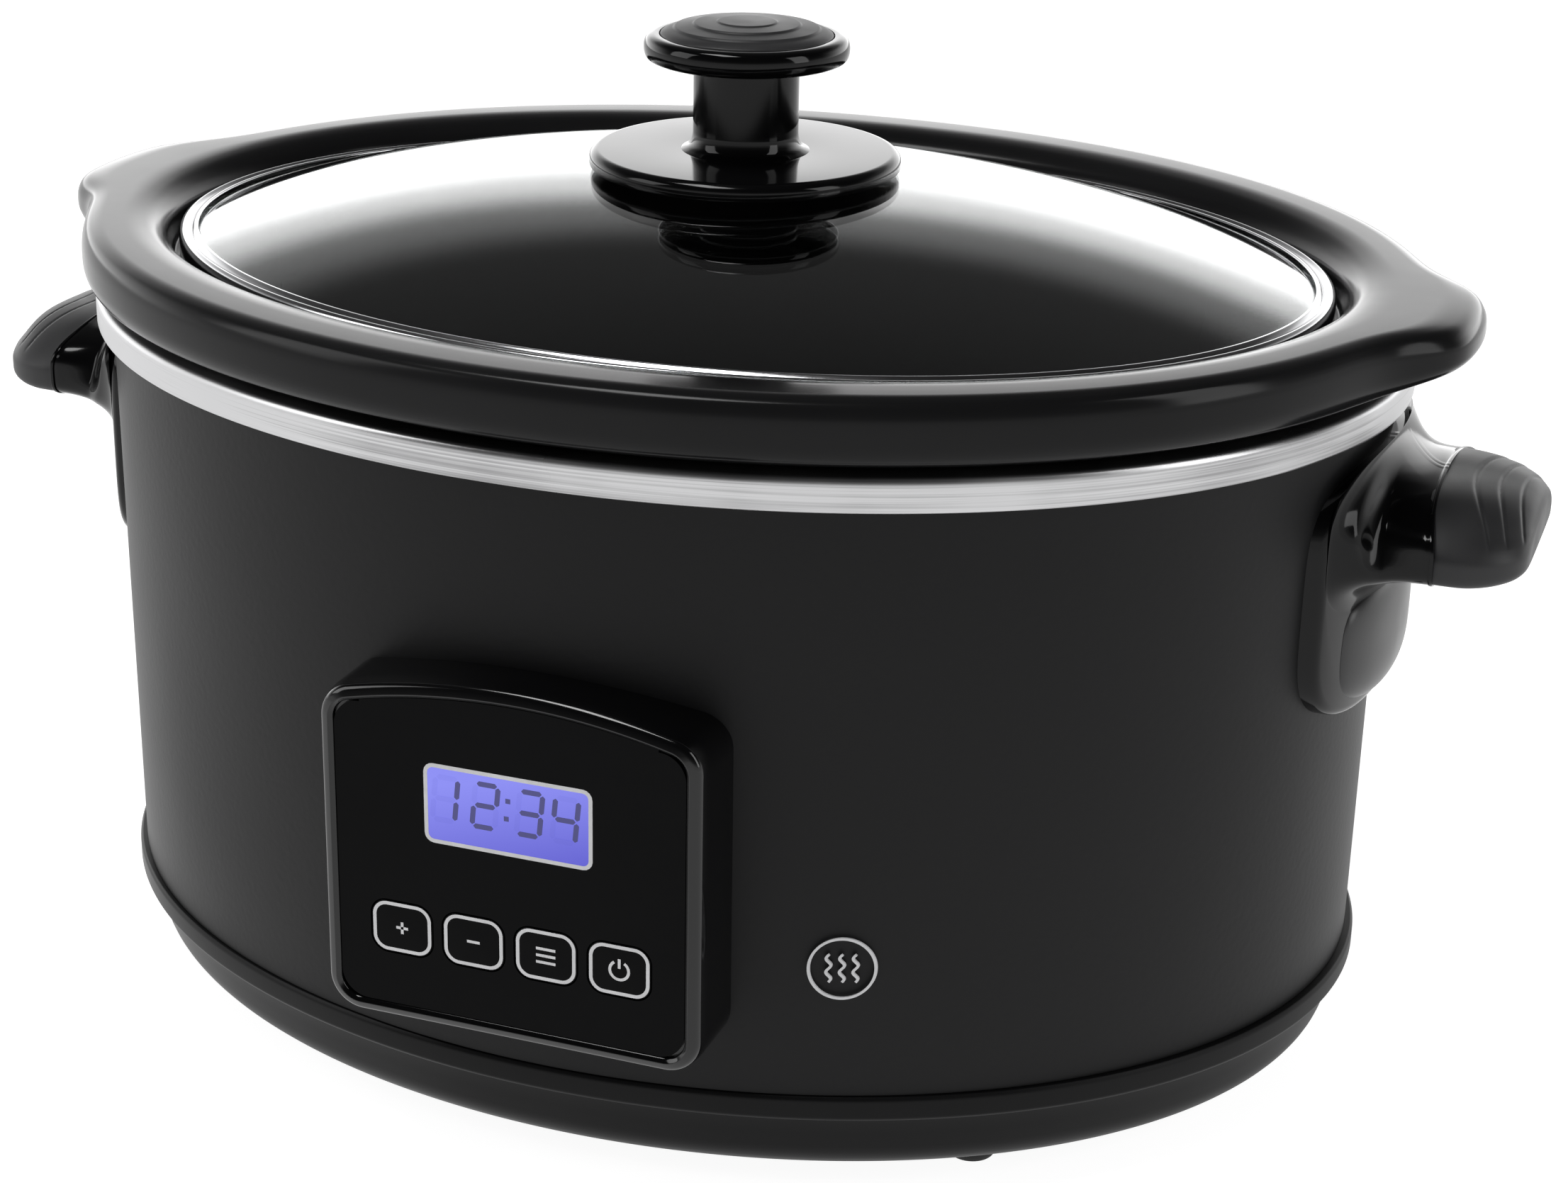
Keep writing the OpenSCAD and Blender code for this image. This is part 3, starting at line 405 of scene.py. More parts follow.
# Takes closed shapes away from a piece and keeps the difference as its mesh
def carve(piece, shapes):
    cutter = meshObject("cutter", joinData(*shapes))
    cut = piece.modifiers.new("cut", "BOOLEAN")
    cut.operation = "DIFFERENCE"
    cut.solver = "EXACT"
    cut.object = cutter
    bpy.context.view_layer.update()
    graph = bpy.context.evaluated_depsgraph_get()
    carved = bpy.data.meshes.new_from_object(piece.evaluated_get(graph))
    piece.modifiers.clear()
    piece.data = carved
    bpy.data.objects.remove(cutter)


vents = dict(each=7, step=12, across=3, long=24, at=45, below=-1, above=20)
slots = []
for place in range(-(vents["each"] // 2), vents["each"] // 2 + 1):
    for half in (-1, 1):
        middle = np.array([place * vents["step"], half * vents["at"]])
        span = np.array([vents["across"], vents["long"]]) / 2
        slots.append(boxData((*(middle - span), vents["below"]), (*(middle + span), vents["above"])))
pocket = surfaceData(turned([(base["pocketRadius"], vents["below"]),
                             (base["pocketRadius"], bottom + base["pocketDeep"])], 64))
carve(trayPiece, slots + [pocket])

foot = dict(radius=6.0, at=(94, 84), sunk=0.2)
footTop = bottom + foot["sunk"]
footRows = softPath([(3.5, 0), (foot["radius"] - 0.4, 0), (foot["radius"], 1.2), (foot["radius"], footTop),
                     (3, footTop)], [0, 0.8, 0.5, 0.2, 0], 5)
for number, (right, rear) in enumerate([(-1, -1), (1, -1), (-1, 1), (1, 1)], 1):
    at = (right * foot["at"][0], rear * foot["at"][1])
    addPiece(f"rubberFoot{number}", surfaceData(turned(footRows, 64, at)), "housing", "rubber",
             [f"foot_{number}"])
print("housing, band, base and feet made")


crock = dict(wall=6.5, floor=8.0, taper=6.0, rimOut=6.6, ear=13.0, lift=3.0, ledge=10.4, drop=11.4,
             hoopIn=8.6)
cookA, cookB = hoopHigh[0] - crock["hoopIn"], hoopHigh[1] - crock["hoopIn"]
ledgeZ = rimTop - crock["drop"]


# A profile row of the cooking space: its half-axes plus a step outwards
def cookRow(out, z):
    return (cookA + out, cookB + out, z, 0, 0)


# A profile row of the crock's mouth, above the ledge: the ledge's half-axes plus steps lengthwise and across
def mouthRow(along, across, z):
    return (cookA + crock["ledge"] + along, cookB + crock["ledge"] + across, z, 0, 0)


wall, taper, rimOut = crock["wall"], crock["taper"], crock["rimOut"]
lowOut = wall - taper
ear, lift = crock["ear"], crock["lift"]
crockFloor = crockZ + crock["floor"]
crockRows = [cookRow(lowOut - 60, crockZ), cookRow(lowOut - 14, crockZ), cookRow(lowOut - 5, crockZ + 2.5),
             cookRow(lowOut, crockZ + 14), cookRow(wall, bandTop - 6), cookRow(wall, bandTop + 0.1),
             shellRow(-3, bandTop + 0.1), shellRow(2.5, bandTop + 2.2, ear * 0.6, lift),
             shellRow(rimOut - 1.4, bandTop + 3.4, ear * 0.9, lift),
             shellRow(rimOut, bandTop + 6.4, ear, lift * 0.8),
             shellRow(rimOut + 0.1, bandTop + 10, ear, lift * 0.35),
             shellRow(rimOut - 0.2, rimTop - 4.2, ear), shellRow(rimOut - 1.4, rimTop - 1.1, ear * 0.92),
             shellRow(rimOut - 4.4, rimTop, ear * 0.7), mouthRow(9, 12, rimTop),
             mouthRow(4.5, 6.5, rimTop - 1.2), mouthRow(1.8, 2.6, rimTop - 3.8),
             mouthRow(0.3, 0.6, rimTop - 7), mouthRow(0, 0, ledgeZ), cookRow(1.6, ledgeZ),
             cookRow(0.4, ledgeZ - 0.6), cookRow(0, ledgeZ - 2.2), cookRow(-taper, crockFloor + 16),
             cookRow(-taper - 5, crockFloor + 4),
             cookRow(-taper - 16, crockFloor), cookRow(-taper - 60, crockFloor)]
crockRound = [0, 8, 8, 9, 4, 1.2, 1.2, 2.4, 2.2, 2.4, 2.4, 2.6, 2.4, 3.2, 4, 3.2, 3, 2.6, 1.3, 0.6, 0.8, 1.2,
              9, 8, 8, 0]
addPiece("stonewareCrock", surfaceData(ovalRings(softPath(crockRows, crockRound, 7))), "crock", "glaze",
         ["crock"], sharp=60)

well = dict(gap=2.5, sheet=1.2)
(_, _, wellBottom), (_, _, wellTop) = boxOf("heating_well")
wellSheet = well["sheet"]
wellLow = lowOut + well["gap"]
wellOut = wall + well["gap"] + wellSheet
wellUnder = wellTop - wellSheet
wellRows = [cookRow(wellLow - 60, wellBottom), cookRow(wellLow - 12, wellBottom),
            cookRow(wellLow, wellBottom + 6), cookRow(wellLow + wellSheet, wellBottom + 14),
            cookRow(wellOut, wellUnder - 2), cookRow(wellOut, wellUnder), shellRow(-0.1, wellUnder),
            shellRow(-0.1, wellTop), cookRow(wellOut - wellSheet, wellTop),
            cookRow(wellOut - wellSheet, wellTop - 3), cookRow(wellLow, wellBottom + 15.5),
            cookRow(wellLow - 2, wellBottom + 7.5), cookRow(wellLow - 12.5, wellBottom + wellSheet),
            cookRow(wellLow - 60, wellBottom + wellSheet)]
wellRows = softPath(wellRows, [0, 5, 4, 4, 0.8, 0.3, 0.4, 0.4, 0.8, 0.8, 4, 4, 5, 0], 5)
addPiece("heatedWell", surfaceData(ovalRings(wellRows, 288)), "housing", "wellMetal", ["heating_well"])
print("crock and well made")


lid = dict(glass=4.0, dome=22.0, bend=2.2, rim=0.9, inset=1.2, hole=4.0, edge=0.5)
edgeA, edgeB = hoopHigh[0] - lid["inset"], hoopHigh[1] - lid["inset"]
domeFoot = hoopLow[2] + lid["rim"]


# Height of the dome's underside at a share of the way out: it falls with a power of the share
def domeHeight(share):
    return domeFoot + lid["dome"] * (1 - share ** lid["bend"])


share = np.linspace(0, 1, 48)
underRows = np.stack([edgeA * share + lid["hole"] * (1 - share), edgeB * share + lid["hole"] * (1 - share),
                      domeHeight(share), 0 * share, 0 * share], -1)
upperRows = underRows[::-1] + np.array([0, 0, lid["glass"], 0, 0])
upperRows[0, :3] -= lid["edge"]
glassRows = np.concatenate([underRows, upperRows])
addPiece("glassDome", surfaceData(ovalRings(glassRows, 288), closeRows=True), "lid", "clearGlass",
         ["lid_glass"], sharp=50)


# A profile row of the hoop: its half-axes less a step inwards, at a height above its lower edge
def hoopRow(inset, above):
    return (hoopHigh[0] - inset, hoopHigh[1] - inset, hoopLow[2] + above, 0, 0)


hoopRows = [hoopRow(*point) for point in (
    (0.6, 0), (0, 0.9), (0, 5.2), (0.5, 6.7), (1.5, 7.3), (2.4, 6.8), (2.9, 6.3), (3.4, 6.8), (4.2, 7.4),
    (5.0, 7.2), (5.0, 6.8), (3.2, 6.05), (1.15, 5.6), (1.1, 0.9), (5, 0.9), (5, 0))]
hoopRows = softPath(hoopRows, [0.5, 0.5, 0.7, 0.6, 0.6, 0.35, 0.3, 0.35, 0.5, 0.3, 0.2, 0.5, 0.4, 0.2, 0.3,
                               0.3], 6, closed=True)
addPiece("steelHoop", surfaceData(ovalRings(hoopRows), closeRows=True), "lid", "lidSteel",
         ["lid_hoop"], sharp=70)

flangeLow, flangeHigh = boxOf("knob_flange")
capLow, capHigh = boxOf("knob_cap")
knob = dict(bore=3.7, stem=13.2, flare=3.0, softIn=1.2, rings=(17.9, 13.1, 7.2), rise=3.3)
bore, stem = knob["bore"], knob["stem"]
flangeR, flangeZ, flangeTop = flangeHigh[0], flangeLow[2], flangeHigh[2]
flangeRows = softPath([(bore, flangeZ), (flangeR - 0.4, flangeZ), (flangeR, flangeZ + 0.8),
                       (flangeR, flangeTop - 1.3), (flangeR - 1.6, flangeTop), (bore, flangeTop)],
                      [0.2, 0.5, 0.8, 1.2, 1.6, 0.2], 8, closed=True)
addPiece("knobFlange", surfaceData(turned(flangeRows, 224), closeRows=True), "lid", "bracketGloss",
         ["knob_flange"])
capR, capZ, capTop = capHigh[0], capLow[2], capHigh[2]
stemRows = softPath([(0.5, flangeTop), (stem + knob["flare"], flangeTop), (stem + 0.9, flangeTop + 0.9),
                     (stem, flangeTop + 3.4), (stem, capZ - 1.2), (stem + 0.8, capZ), (0.5, capZ)],
                    [0, 0.3, 1.1, 2.2, 1.0, 0.3, 0], 8)
addPiece("knobStem", surfaceData(turned(stemRows)), "lid", "bracketGloss", ["knob_stem"])
dishR = capR - knob["softIn"] - 2.6
capRows = softPath([(0.5, capZ), (capR - 2.6, capZ), (capR - 0.5, capZ + 0.9), (capR, capZ + 2.6),
                    (capR, capTop - 2.2), (capR - 0.7, capTop - 0.6), (capR - 2.2, capTop), (dishR, capTop),
                    (dishR - 0.1, capTop - 1.1), (0.5, capTop - 1.1)],
                   [0, 1, 1.2, 1.2, 1.2, 0.9, 0.9, 0.15, 0.2, 0], 8)
addPiece("knobCap", surfaceData(turned(capRows, 224)), "lid", "bracketGloss", ["knob_cap"])
softR = capR - 4.1
outer, central, inner = knob["rings"]
softRows = softPath([(0.5, capTop - 1.2), (softR, capTop - 1.2), (softR, capTop + 0.15),
                     (softR - 1.6, capTop + 0.95), (outer + 0.5, capTop + 1.35), (outer, capTop + 1.85),
                     (central + 0.5, capTop + 2.3), (central, capTop + 2.75), (inner + 0.5, capTop + 2.95),
                     (inner, capTop + knob["rise"] - 0.05), (0.5, capTop + knob["rise"])],
                    [0, 0.2, 0.4, 0.8, 0.25, 0.25, 0.25, 0.25, 0.2, 0.25, 0], 7)
addPiece("knobSoftTop", surfaceData(turned(softRows, 224)), "lid", "softGrip", ["knob_insert"], sharp=60)
print("lid and knob made")


bracket = dict(half=44.4, top=167.0, bottom=104.2, plate=4.0, collarX=183.0, dip=3.0, hub=149.0, points=224,
               neckHalf=35.6, neckLow=140.6, neckHigh=156.3, crown=4.7, flareLow=131.0, flareCrown=2.2,
               scoop=4.6, scoopX=165.6, scoopZ=156.0)


# Closed curve facing outwards: a rounded box of half-width "half" from "low" to "high" whose top is crowned;
# "corner" is the power that squares it. Its points lie on even angles round a middle height
def faceCurve(half, low, high, crown, corner, middle=bracket["hub"], fine=2400):
    turnAt = np.linspace(-math.pi / 2, 1.5 * math.pi, fine, endpoint=False)
    cosine, sine = np.cos(turnAt), np.sin(turnAt)
    y = half * np.sign(cosine) * np.abs(cosine) ** corner
    z = (low + high) / 2 + (high - low) / 2 * np.sign(sine) * np.abs(sine) ** corner
    z = z + crown * (1 - (y / half) ** 2) * np.clip(sine, 0, 1) ** 0.5
    angle = np.unwrap(np.arctan2(z - middle, y))
    radius = np.hypot(y, z - middle)
    even = angle[0] + np.linspace(0, 2 * math.pi, bracket["points"], endpoint=False)
    far = np.interp(even, np.append(angle, angle[0] + 2 * math.pi), np.append(radius, radius[0]))
    return np.stack([far * np.cos(even), middle + far * np.sin(even)], -1)


# Distance of the shell's outside from the middle plane at a width y, by the oval's equation
def shellX(y):
    return shellA * np.sqrt(1 - (y / shellB) ** 2)


# A curve of widths and heights laid on the shell, a distance off it
def laidOn(curve, off):
    return np.stack([shellX(curve[:, 0]) + off, curve[:, 0], curve[:, 1]], -1)


# The collar's top edge bows back towards the shell: most in the middle of its width, nothing at its sides
def collarBow(y, z):
    return bracket["dip"] * np.clip((z - 150) / 8, 0, 1) * np.clip(1 - (y / bracket["half"]) ** 2, 0, 1)


# The bracket in four parts: a plate with a rounded edge, flat land, a flare from the foot's curve to the
# neck's along a quarter of an ellipse, and the collar. A scoop pushes the flanks in behind a curved edge
def bracketData():
    plate, top, bottom, collarX = (bracket[key] for key in ("plate", "top", "bottom", "collarX"))
    plateRings = []
    for inset, up in ((0, -plate - 1.5), (0, -1.7), (0.3, -0.8), (1.0, -0.2), (1.9, 0)):
        curve = faceCurve(bracket["half"] - inset, bottom + inset, top - inset, 0, 0.46)
        plateRings.append(laidOn(curve, plate + up))
    foot = faceCurve(bracket["half"] - 1.2, bracket["flareLow"], top + 1.5, bracket["flareCrown"], 0.5)
    neck = faceCurve(bracket["neckHalf"], bracket["neckLow"], bracket["neckHigh"], bracket["crown"], 0.46)
    land = [laidOn(plateRings[-1][:, 1:] * (1 - share) + foot * share, plate) for share in (0.25, 0.5, 0.75)]
    sweep = np.linspace(0, math.pi / 2, 84)[:, None]
    near, out = np.sin(sweep) ** 1.3, (1 - np.cos(sweep)) ** 0.8
    y = foot[:, 0] * (1 - near) + neck[:, 0] * near
    z = foot[:, 1] * (1 - near) + neck[:, 1] * near
    x = (shellX(foot[:, 0]) + plate) * (1 - out) + collarX * out
    edge = bracket["scoopX"] + 0.02 * (z - bracket["scoopZ"]) ** 2
    inward = np.clip((x - edge) / 5.5, 0, 1)
    inward = inward ** 2 * (3 - 2 * inward) * np.clip((collarX - 1.0 - x) / 10.0, 0, 1) ** 1.2
    level = np.exp(-((z - bracket["scoopZ"]) / 10.0) ** 2) * np.clip((np.abs(y) - 12) / 16, 0, 1)
    y = y - np.sign(y) * bracket["scoop"] * inward * level
    flare = np.stack([x - collarBow(y, z) * out ** 1.5, y, z], -1)
    collar = []
    for grow, ahead in ((0.35, 0.1), (0.45, 0.6), (0.3, 1.0), (-0.9, 1.05), (-1.6, 0.4)):
        scale = 1 + grow / 30.0
        y, z = neck[:, 0] * scale, bracket["hub"] + (neck[:, 1] - bracket["hub"]) * scale
        collar.append(np.stack([collarX + ahead - collarBow(y, z), y, z], -1))
    return surfaceData(np.concatenate([np.array(plateRings), np.array(land), flare, np.array(collar)]))


pad = dict(half=34.0, low=106.0, high=137.5, middle=121.0, rise=4.6, sunk=0.6)


# The soft pad under the neck: rings that shrink to its middle on the plate, and rise by
# (1 - share^3.6)^0.62 of the pad's height
def padData():
    share = np.linspace(0.02, 1, 34)[::-1][:, None]
    middle = pad["middle"]
    outline = evenly(faceCurve(pad["half"], pad["low"], pad["high"], 0, 0.6, middle), 160)
    y = outline[None, :, 0] * share
    z = middle + (outline[None, :, 1] - middle) * share
    x = shellX(y) + bracket["plate"] - pad["sunk"] + pad["rise"] * (1 - share ** 3.6) ** 0.62
    inside = np.stack([shellX(y[:1]) + 1, y[:1], z[:1]], -1)
    return surfaceData(np.concatenate([inside, np.stack([x, y, z], -1)]))


grip = dict(tip=204.0, middle=147.0, grooves=(0.36, 0.62, 0.88), bow=0.0072, deep=0.85, flat=(4.6, 2.4))
gripStart = bracket["collarX"] - 0.6
gripStations = (  # reach, half-width, low, shoulder, ridge
    (gripStart, 34.9, 141.3, 152.3, 160.4), (gripStart + 1.2, 35.0, 141.0, 152.2, 160.5),
    (187, 34.9, 140.9, 152.0, 160.6), (191, 34.2, 140.8, 151.7, 160.4), (195, 32.6, 141.1, 151.5, 160.0),
    (198.5, 30.2, 141.7, 151.4, 159.3), (201.3, 27.2, 142.5, 151.2, 158.2),
    (203.1, 24.0, 143.7, 150.8, 156.6), (203.9, 20.5, 145.0, 150.2, 154.4),
    (grip["tip"], 15.0, 146.6, 149.2, 151.8))


# The grip is lofted outwards: its half-width and heights follow the reach, its upper side is an arch with
# three crescent steps, each a smooth fall across a line that bows away from the tip
def gripData():
    middle, tip = grip["middle"], grip["tip"]
    turnAt = np.linspace(-math.pi / 2, 1.5 * math.pi, 720, endpoint=False)
    cosine, sine = np.cos(turnAt), np.sin(turnAt)
    rings = []
    for reach, half, low, shoulder, ridge in throughRows(gripStations, 96):
        flat = np.interp(reach, [gripStart, tip], grip["flat"])  # power: how flat the top is across
        y = half * np.sign(cosine) * np.abs(cosine) ** 0.6
        crest = shoulder + (ridge - shoulder) * (1 - np.abs(y / half) ** flat)
        z = middle + np.where(sine > 0, crest - middle, low - middle) * np.abs(sine) ** 0.42
        rings.append(evenly(np.stack([reach + 0 * y, y, z], -1), 200))
    x, y, z = np.moveaxis(np.array(rings), -1, 0)
    out = (tip + 2 - x + grip["bow"] * y ** 2) / 19.0
    over = np.clip((z - 151.5) / 2.5, 0, 1)
    step = sum(1 / (1 + np.exp((out - place) / 0.01)) for place in grip["grooves"])
    line = sum(np.exp(-((out - place) / 0.018) ** 2) for place in grip["grooves"])
    z = z - over * grip["deep"] * (0.3 * step + 0.5 * line)
    x = x - collarBow(y, z) * np.clip(1 - (x - gripStart) / 14, 0, 1) ** 1.2
    return surfaceData(np.stack([x, y, z], -1))


# The same shape on the other side: x changes sign, and its faces turn over
def mirrored(data):
    points, faces = data
    return points * np.array([-1, 1, 1]), [face[::-1] for face in faces]


handle = (bracketData(), padData(), gripData())
for side, shapes in (("Right", handle), ("Left", [mirrored(shape) for shape in handle])):
    node = side.lower()
    addPiece("bracket" + side, shapes[0], "housing", "bracketGloss", ["bracket_" + node], sharp=60)
    addPiece("bracketPad" + side, shapes[1], "housing", "padSatin", sharp=60)
    addPiece("softGrip" + side, shapes[2], "housing", "softGrip", ["grip_" + node], sharp=60)
print("handles made")


panel = dict(half=47.0, tall=88.0, corner=9.0, arch=168.0, rim=4.1, pocket=2.0, points=420)
faceY = bezelLow[1]
panelZ = bezelLow[2]


# The bezel's outline: straight sides, and round corners that touch the top arch where both lean alike
def panelOutline():
    half, tall, corner, arch = (panel[key] for key in ("half", "tall", "corner", "arch"))
    lean = math.asin((half - corner) / (arch - corner))
    cornerZ = tall - arch + (arch - corner) * math.cos(lean)
    lower = np.linspace(-math.pi / 2, 0, 60)
    upper = np.linspace(0, math.pi / 2 - lean, 60)
    over = np.linspace(lean, 0, 60)
    x = np.concatenate([[0], half - corner + corner * np.cos(lower), half - corner + corner * np.cos(upper),
                        arch * np.sin(over)])
    z = np.concatenate([[0], corner + corner * np.sin(lower), cornerZ + corner * np.sin(upper),
                        tall - arch + arch * np.cos(over)])
    right = np.stack([x, z], -1)
    return evenly(np.concatenate([right, right[-2:0:-1] * [-1, 1]]), panel["points"])


outline = panelOutline()
outward = sideways(outline)


# Carries a profile round the outline: each profile point is (distance outwards, depth)
def panelSweep(profile):
    rows = np.asarray(profile, float)
    flat = outline[None] + outward[None] * rows[:, :1, None]
    y = np.broadcast_to(rows[:, 1:2], flat.shape[:2])
    return np.stack([flat[..., 0], y, flat[..., 1] + panelZ], -1)


rimIn = -panel["rim"] + 0.1
pocketY = faceY + panel["pocket"]
backY = -shellB + 12
bezelRows = softPath([(rimIn, pocketY - 0.05), (rimIn, faceY + 0.9), (rimIn + 0.7, faceY + 0.25),
                      (-3.0, faceY), (-0.7, faceY + 1.0), (0, faceY + 4.6), (0, backY), (-2.6, backY),
                      (-2.6, pocketY + 3), (-2.6, pocketY + 2), (rimIn - 8, pocketY + 2),
                      (rimIn - 8, pocketY - 0.05)],
                     [0.1, 0.4, 0.4, 1.0, 1.7, 2.2, 0.6, 0.5, 0.3, 0.3, 0.1, 0.1], 9, closed=True)
addPiece("glossBezel", surfaceData(panelSweep(bezelRows), closeRows=True), "housing", "panelGloss",
         ["control_bezel"], sharp=60)


# Outline of a rounded rectangle at even steps: two corner arcs, and the same two turned half round
def roundRect(wide, tall, corner, count=120):
    turnAt = np.linspace(0, math.pi / 2, 24)
    right = np.stack([wide / 2 - corner + corner * np.cos(turnAt),
                      tall / 2 - corner + corner * np.sin(turnAt)], -1)
    upper = np.concatenate([right, right[::-1] * [-1, 1]])
    return evenly(np.concatenate([upper, -upper]), count)


# A flat plate between two depths with a rounded front edge: rings shrink by the edge's quarter circle
def plateData(loop, centre, front, back, edge):
    turnAt = np.linspace(0, math.pi / 2, 6)
    inset = np.concatenate([[0], -edge * (1 - np.cos(turnAt))])
    depth = np.concatenate([[back], front + edge * (1 - np.sin(turnAt))])
    flat = loop[None] + sideways(loop)[None] * inset[:, None, None]
    return surfaceData(np.stack([flat[..., 0] + centre[0], np.broadcast_to(depth[:, None], flat.shape[:2]),
                                 flat[..., 1] + centre[1]], -1))


# A flat ribbon along a line on the front: four corners of a thin rectangle at every point of the line;
# "depth" gives the surface that it lies on
def ribbonData(line, half, depth, closed=False, thick=0.1, sunk=0.06):
    points = np.asarray(line, float)
    side = sideways(points, closed) * np.broadcast_to(np.asarray(half, float), len(points))[:, None]
    left, right = points - side, points + side
    corners = [np.stack([at[:, 0], depth(at[:, 0]) + sunk - lift, at[:, 1]], -1)
               for at, lift in ((left, 0), (right, 0), (right, thick), (left, thick))]
    return surfaceData(np.stack(corners, 1), closeRows=closed)


plateY = pocketY - 1.0


# Depth of the panel's plate, the same at every x
def onPlate(x):
    return plateY + 0 * x


display = dict(corner=2.0, edge=0.15, line=0.48, glow=0.88)
lcdLow, lcdHigh = boxOf("lcd_window")
lcdWide, _, lcdTall = lcdHigh - lcdLow
lcdMid = ((lcdLow + lcdHigh) / 2)[[0, 2]]
tones = dict(displayGlow=((0.24, 0.25, 0.93), (0.075, 0.07, 0.62), display["glow"]),
             ghostGlow=((0.222, 0.232, 0.89), (0.069, 0.064, 0.59), display["glow"]),
             digitInk=((0.032, 0.031, 0.15), (0.02, 0.019, 0.12), 1.0))
for name, (bright, deep, power) in tones.items():
    paint[name] = makeGlow(name, bright, deep, lcdLow, lcdHigh, power)
addPiece("displayPane", plateData(roundRect(lcdWide, lcdTall, display["corner"]), lcdMid, plateY, lcdHigh[1],
                                  display["edge"]),
         "housing", "displayGlow", ["lcd_window"])
frameLine = roundRect(lcdWide - 0.2, lcdTall - 0.2, display["corner"] - 0.1, 160) + lcdMid
addPiece("displayFrame", ribbonData(frameLine, display["line"], onPlate, closed=True, thick=0.12), "housing",
         "printGrey")

digits = dict(wide=5.6, tall=10.6, cells=(-18.2, -8.3, 2.6, 11.3), colon=-0.1, slant=0.1, stroke=1.25,
              rise=1.5)
segmentEnds = dict(a=((0, 1), (1, 1)), b=((1, 1), (1, 0.5)), c=((1, 0.5), (1, 0)), d=((0, 0), (1, 0)),
                   e=((0, 0.5), (0, 0)), f=((0, 1), (0, 0.5)), g=((0, 0.5), (1, 0.5)))
segmentsOf = {"1": "bc", "2": "abged", "3": "abgcd", "4": "fgbc"}


# One bar of a digit: a slanted stroke whose ends narrow to points
def barData(letter, left):
    start, end = (np.array(end) - [0, 0.5] for end in segmentEnds[letter])
    start, end = (point * [digits["wide"], digits["tall"]] for point in (start, end))
    way = (end - start) / np.linalg.norm(end - start)
    share = np.array([0, 0.1, 0.9, 1])[:, None]
    line = start + way * 0.35 + (end - start - way * 0.7) * share
    line[:, 0] += line[:, 1] * digits["slant"] + left + lcdMid[0]
    line[:, 1] += lcdMid[1] + digits["rise"]
    return ribbonData(line, np.array([0.12, 1, 1, 0.12]) * digits["stroke"] / 2, onPlate)


litBars, dimBars = [], []
for left, sign in zip(digits["cells"], "1234"):
    for letter in "abcdefg":
        (litBars if letter in segmentsOf[sign] else dimBars).append(barData(letter, left))
for above in (-2.2, 2.2):
    dot = np.array([[-0.6, 0], [0.6, 0]]) + lcdMid
    dot += [digits["colon"] + above * digits["slant"], digits["rise"] + above]
    litBars.append(ribbonData(dot, 0.6, onPlate))
addPiece("displayDigits", joinData(*litBars), "housing", "digitInk")
addPiece("displayGhosts", joinData(*dimBars), "housing", "ghostGlow")


# A straight stroke as a line of three points: its ends and their middle
def stroke(x0, z0, x1, z1):
    return np.array([[x0, z0], [(x0 + x1) / 2, (z0 + z1) / 2], [x1, z1]], float)


# A round arc from one angle to another, in degrees: radius x (cos, sin)
def arc(radius, first, last, count=48):
    turnAt = np.radians(np.linspace(first, last, count))
    return np.stack([radius * np.cos(turnAt), radius * np.sin(turnAt)], -1)


keys = dict(across=15.4, tall=13.2, corner=4.0, line=0.42, inset=0.75, glyph=0.34, edge=0.25)
glyphs = dict(plus=[stroke(-1.5, 0, 1.5, 0), stroke(0, -1.5, 0, 1.5)], minus=[stroke(-1.6, 0, 1.6, 0)],
              mode=[stroke(-2.4, 1.7, 2.4, 1.7), stroke(-2.4, 0, 2.4, 0), stroke(-2.4, -1.7, 2.4, -1.7)],
              power=[arc(2.3, 122, 418), stroke(0, 0.5, 0, 2.9)])
keyLoop = roundRect(keys["across"], keys["tall"], keys["corner"])
keyRing = roundRect(keys["across"] - 2 * keys["inset"], keys["tall"] - 2 * keys["inset"],
                    keys["corner"] - keys["inset"])
for name, lines in glyphs.items():
    node, title = "key_" + name, name.capitalize()
    keyLow, keyHigh = boxOf(node)
    middle = ((keyLow + keyHigh) / 2)[[0, 2]]
    addPiece("key" + title, plateData(keyLoop, middle, plateY, keyHigh[1], keys["edge"]), node,
             "overlayGloss", [node])
    marks = [ribbonData(keyRing + middle, keys["line"], onPlate, closed=True)]
    marks += [ribbonData(line + middle, keys["glyph"], onPlate) for line in lines]
    addPiece("keyPrint" + title, joinData(*marks), node, "printGrey")

# A plain mark on the shell: a ring with three upright wavy strokes
mark = dict(at=(71.5, 63.0), radius=7.6, line=0.3, waves=(-2.9, 0, 2.9), thick=0.5)


# Depth of the shell's front at x, by the oval's equation, sunk by 0.35
def onShell(x):
    return -shellB * np.sqrt(1 - (x / shellA) ** 2) + 0.35


ring = arc(mark["radius"], 0, 360, 97)[:-1] * [0.95, 1] + mark["at"]
height = np.linspace(-3.4, 3.6, 24)
waves = [np.stack([x + 0.55 * np.sin(height * 1.8), height], -1) + mark["at"] for x in mark["waves"]]
marks = [ribbonData(ring, mark["line"], onShell, closed=True, thick=mark["thick"])]
marks += [ribbonData(line, mark["line"], onShell, thick=mark["thick"]) for line in waves]
addPiece("warmMark", joinData(*marks), "housing", "printGrey")
print("control panel made")


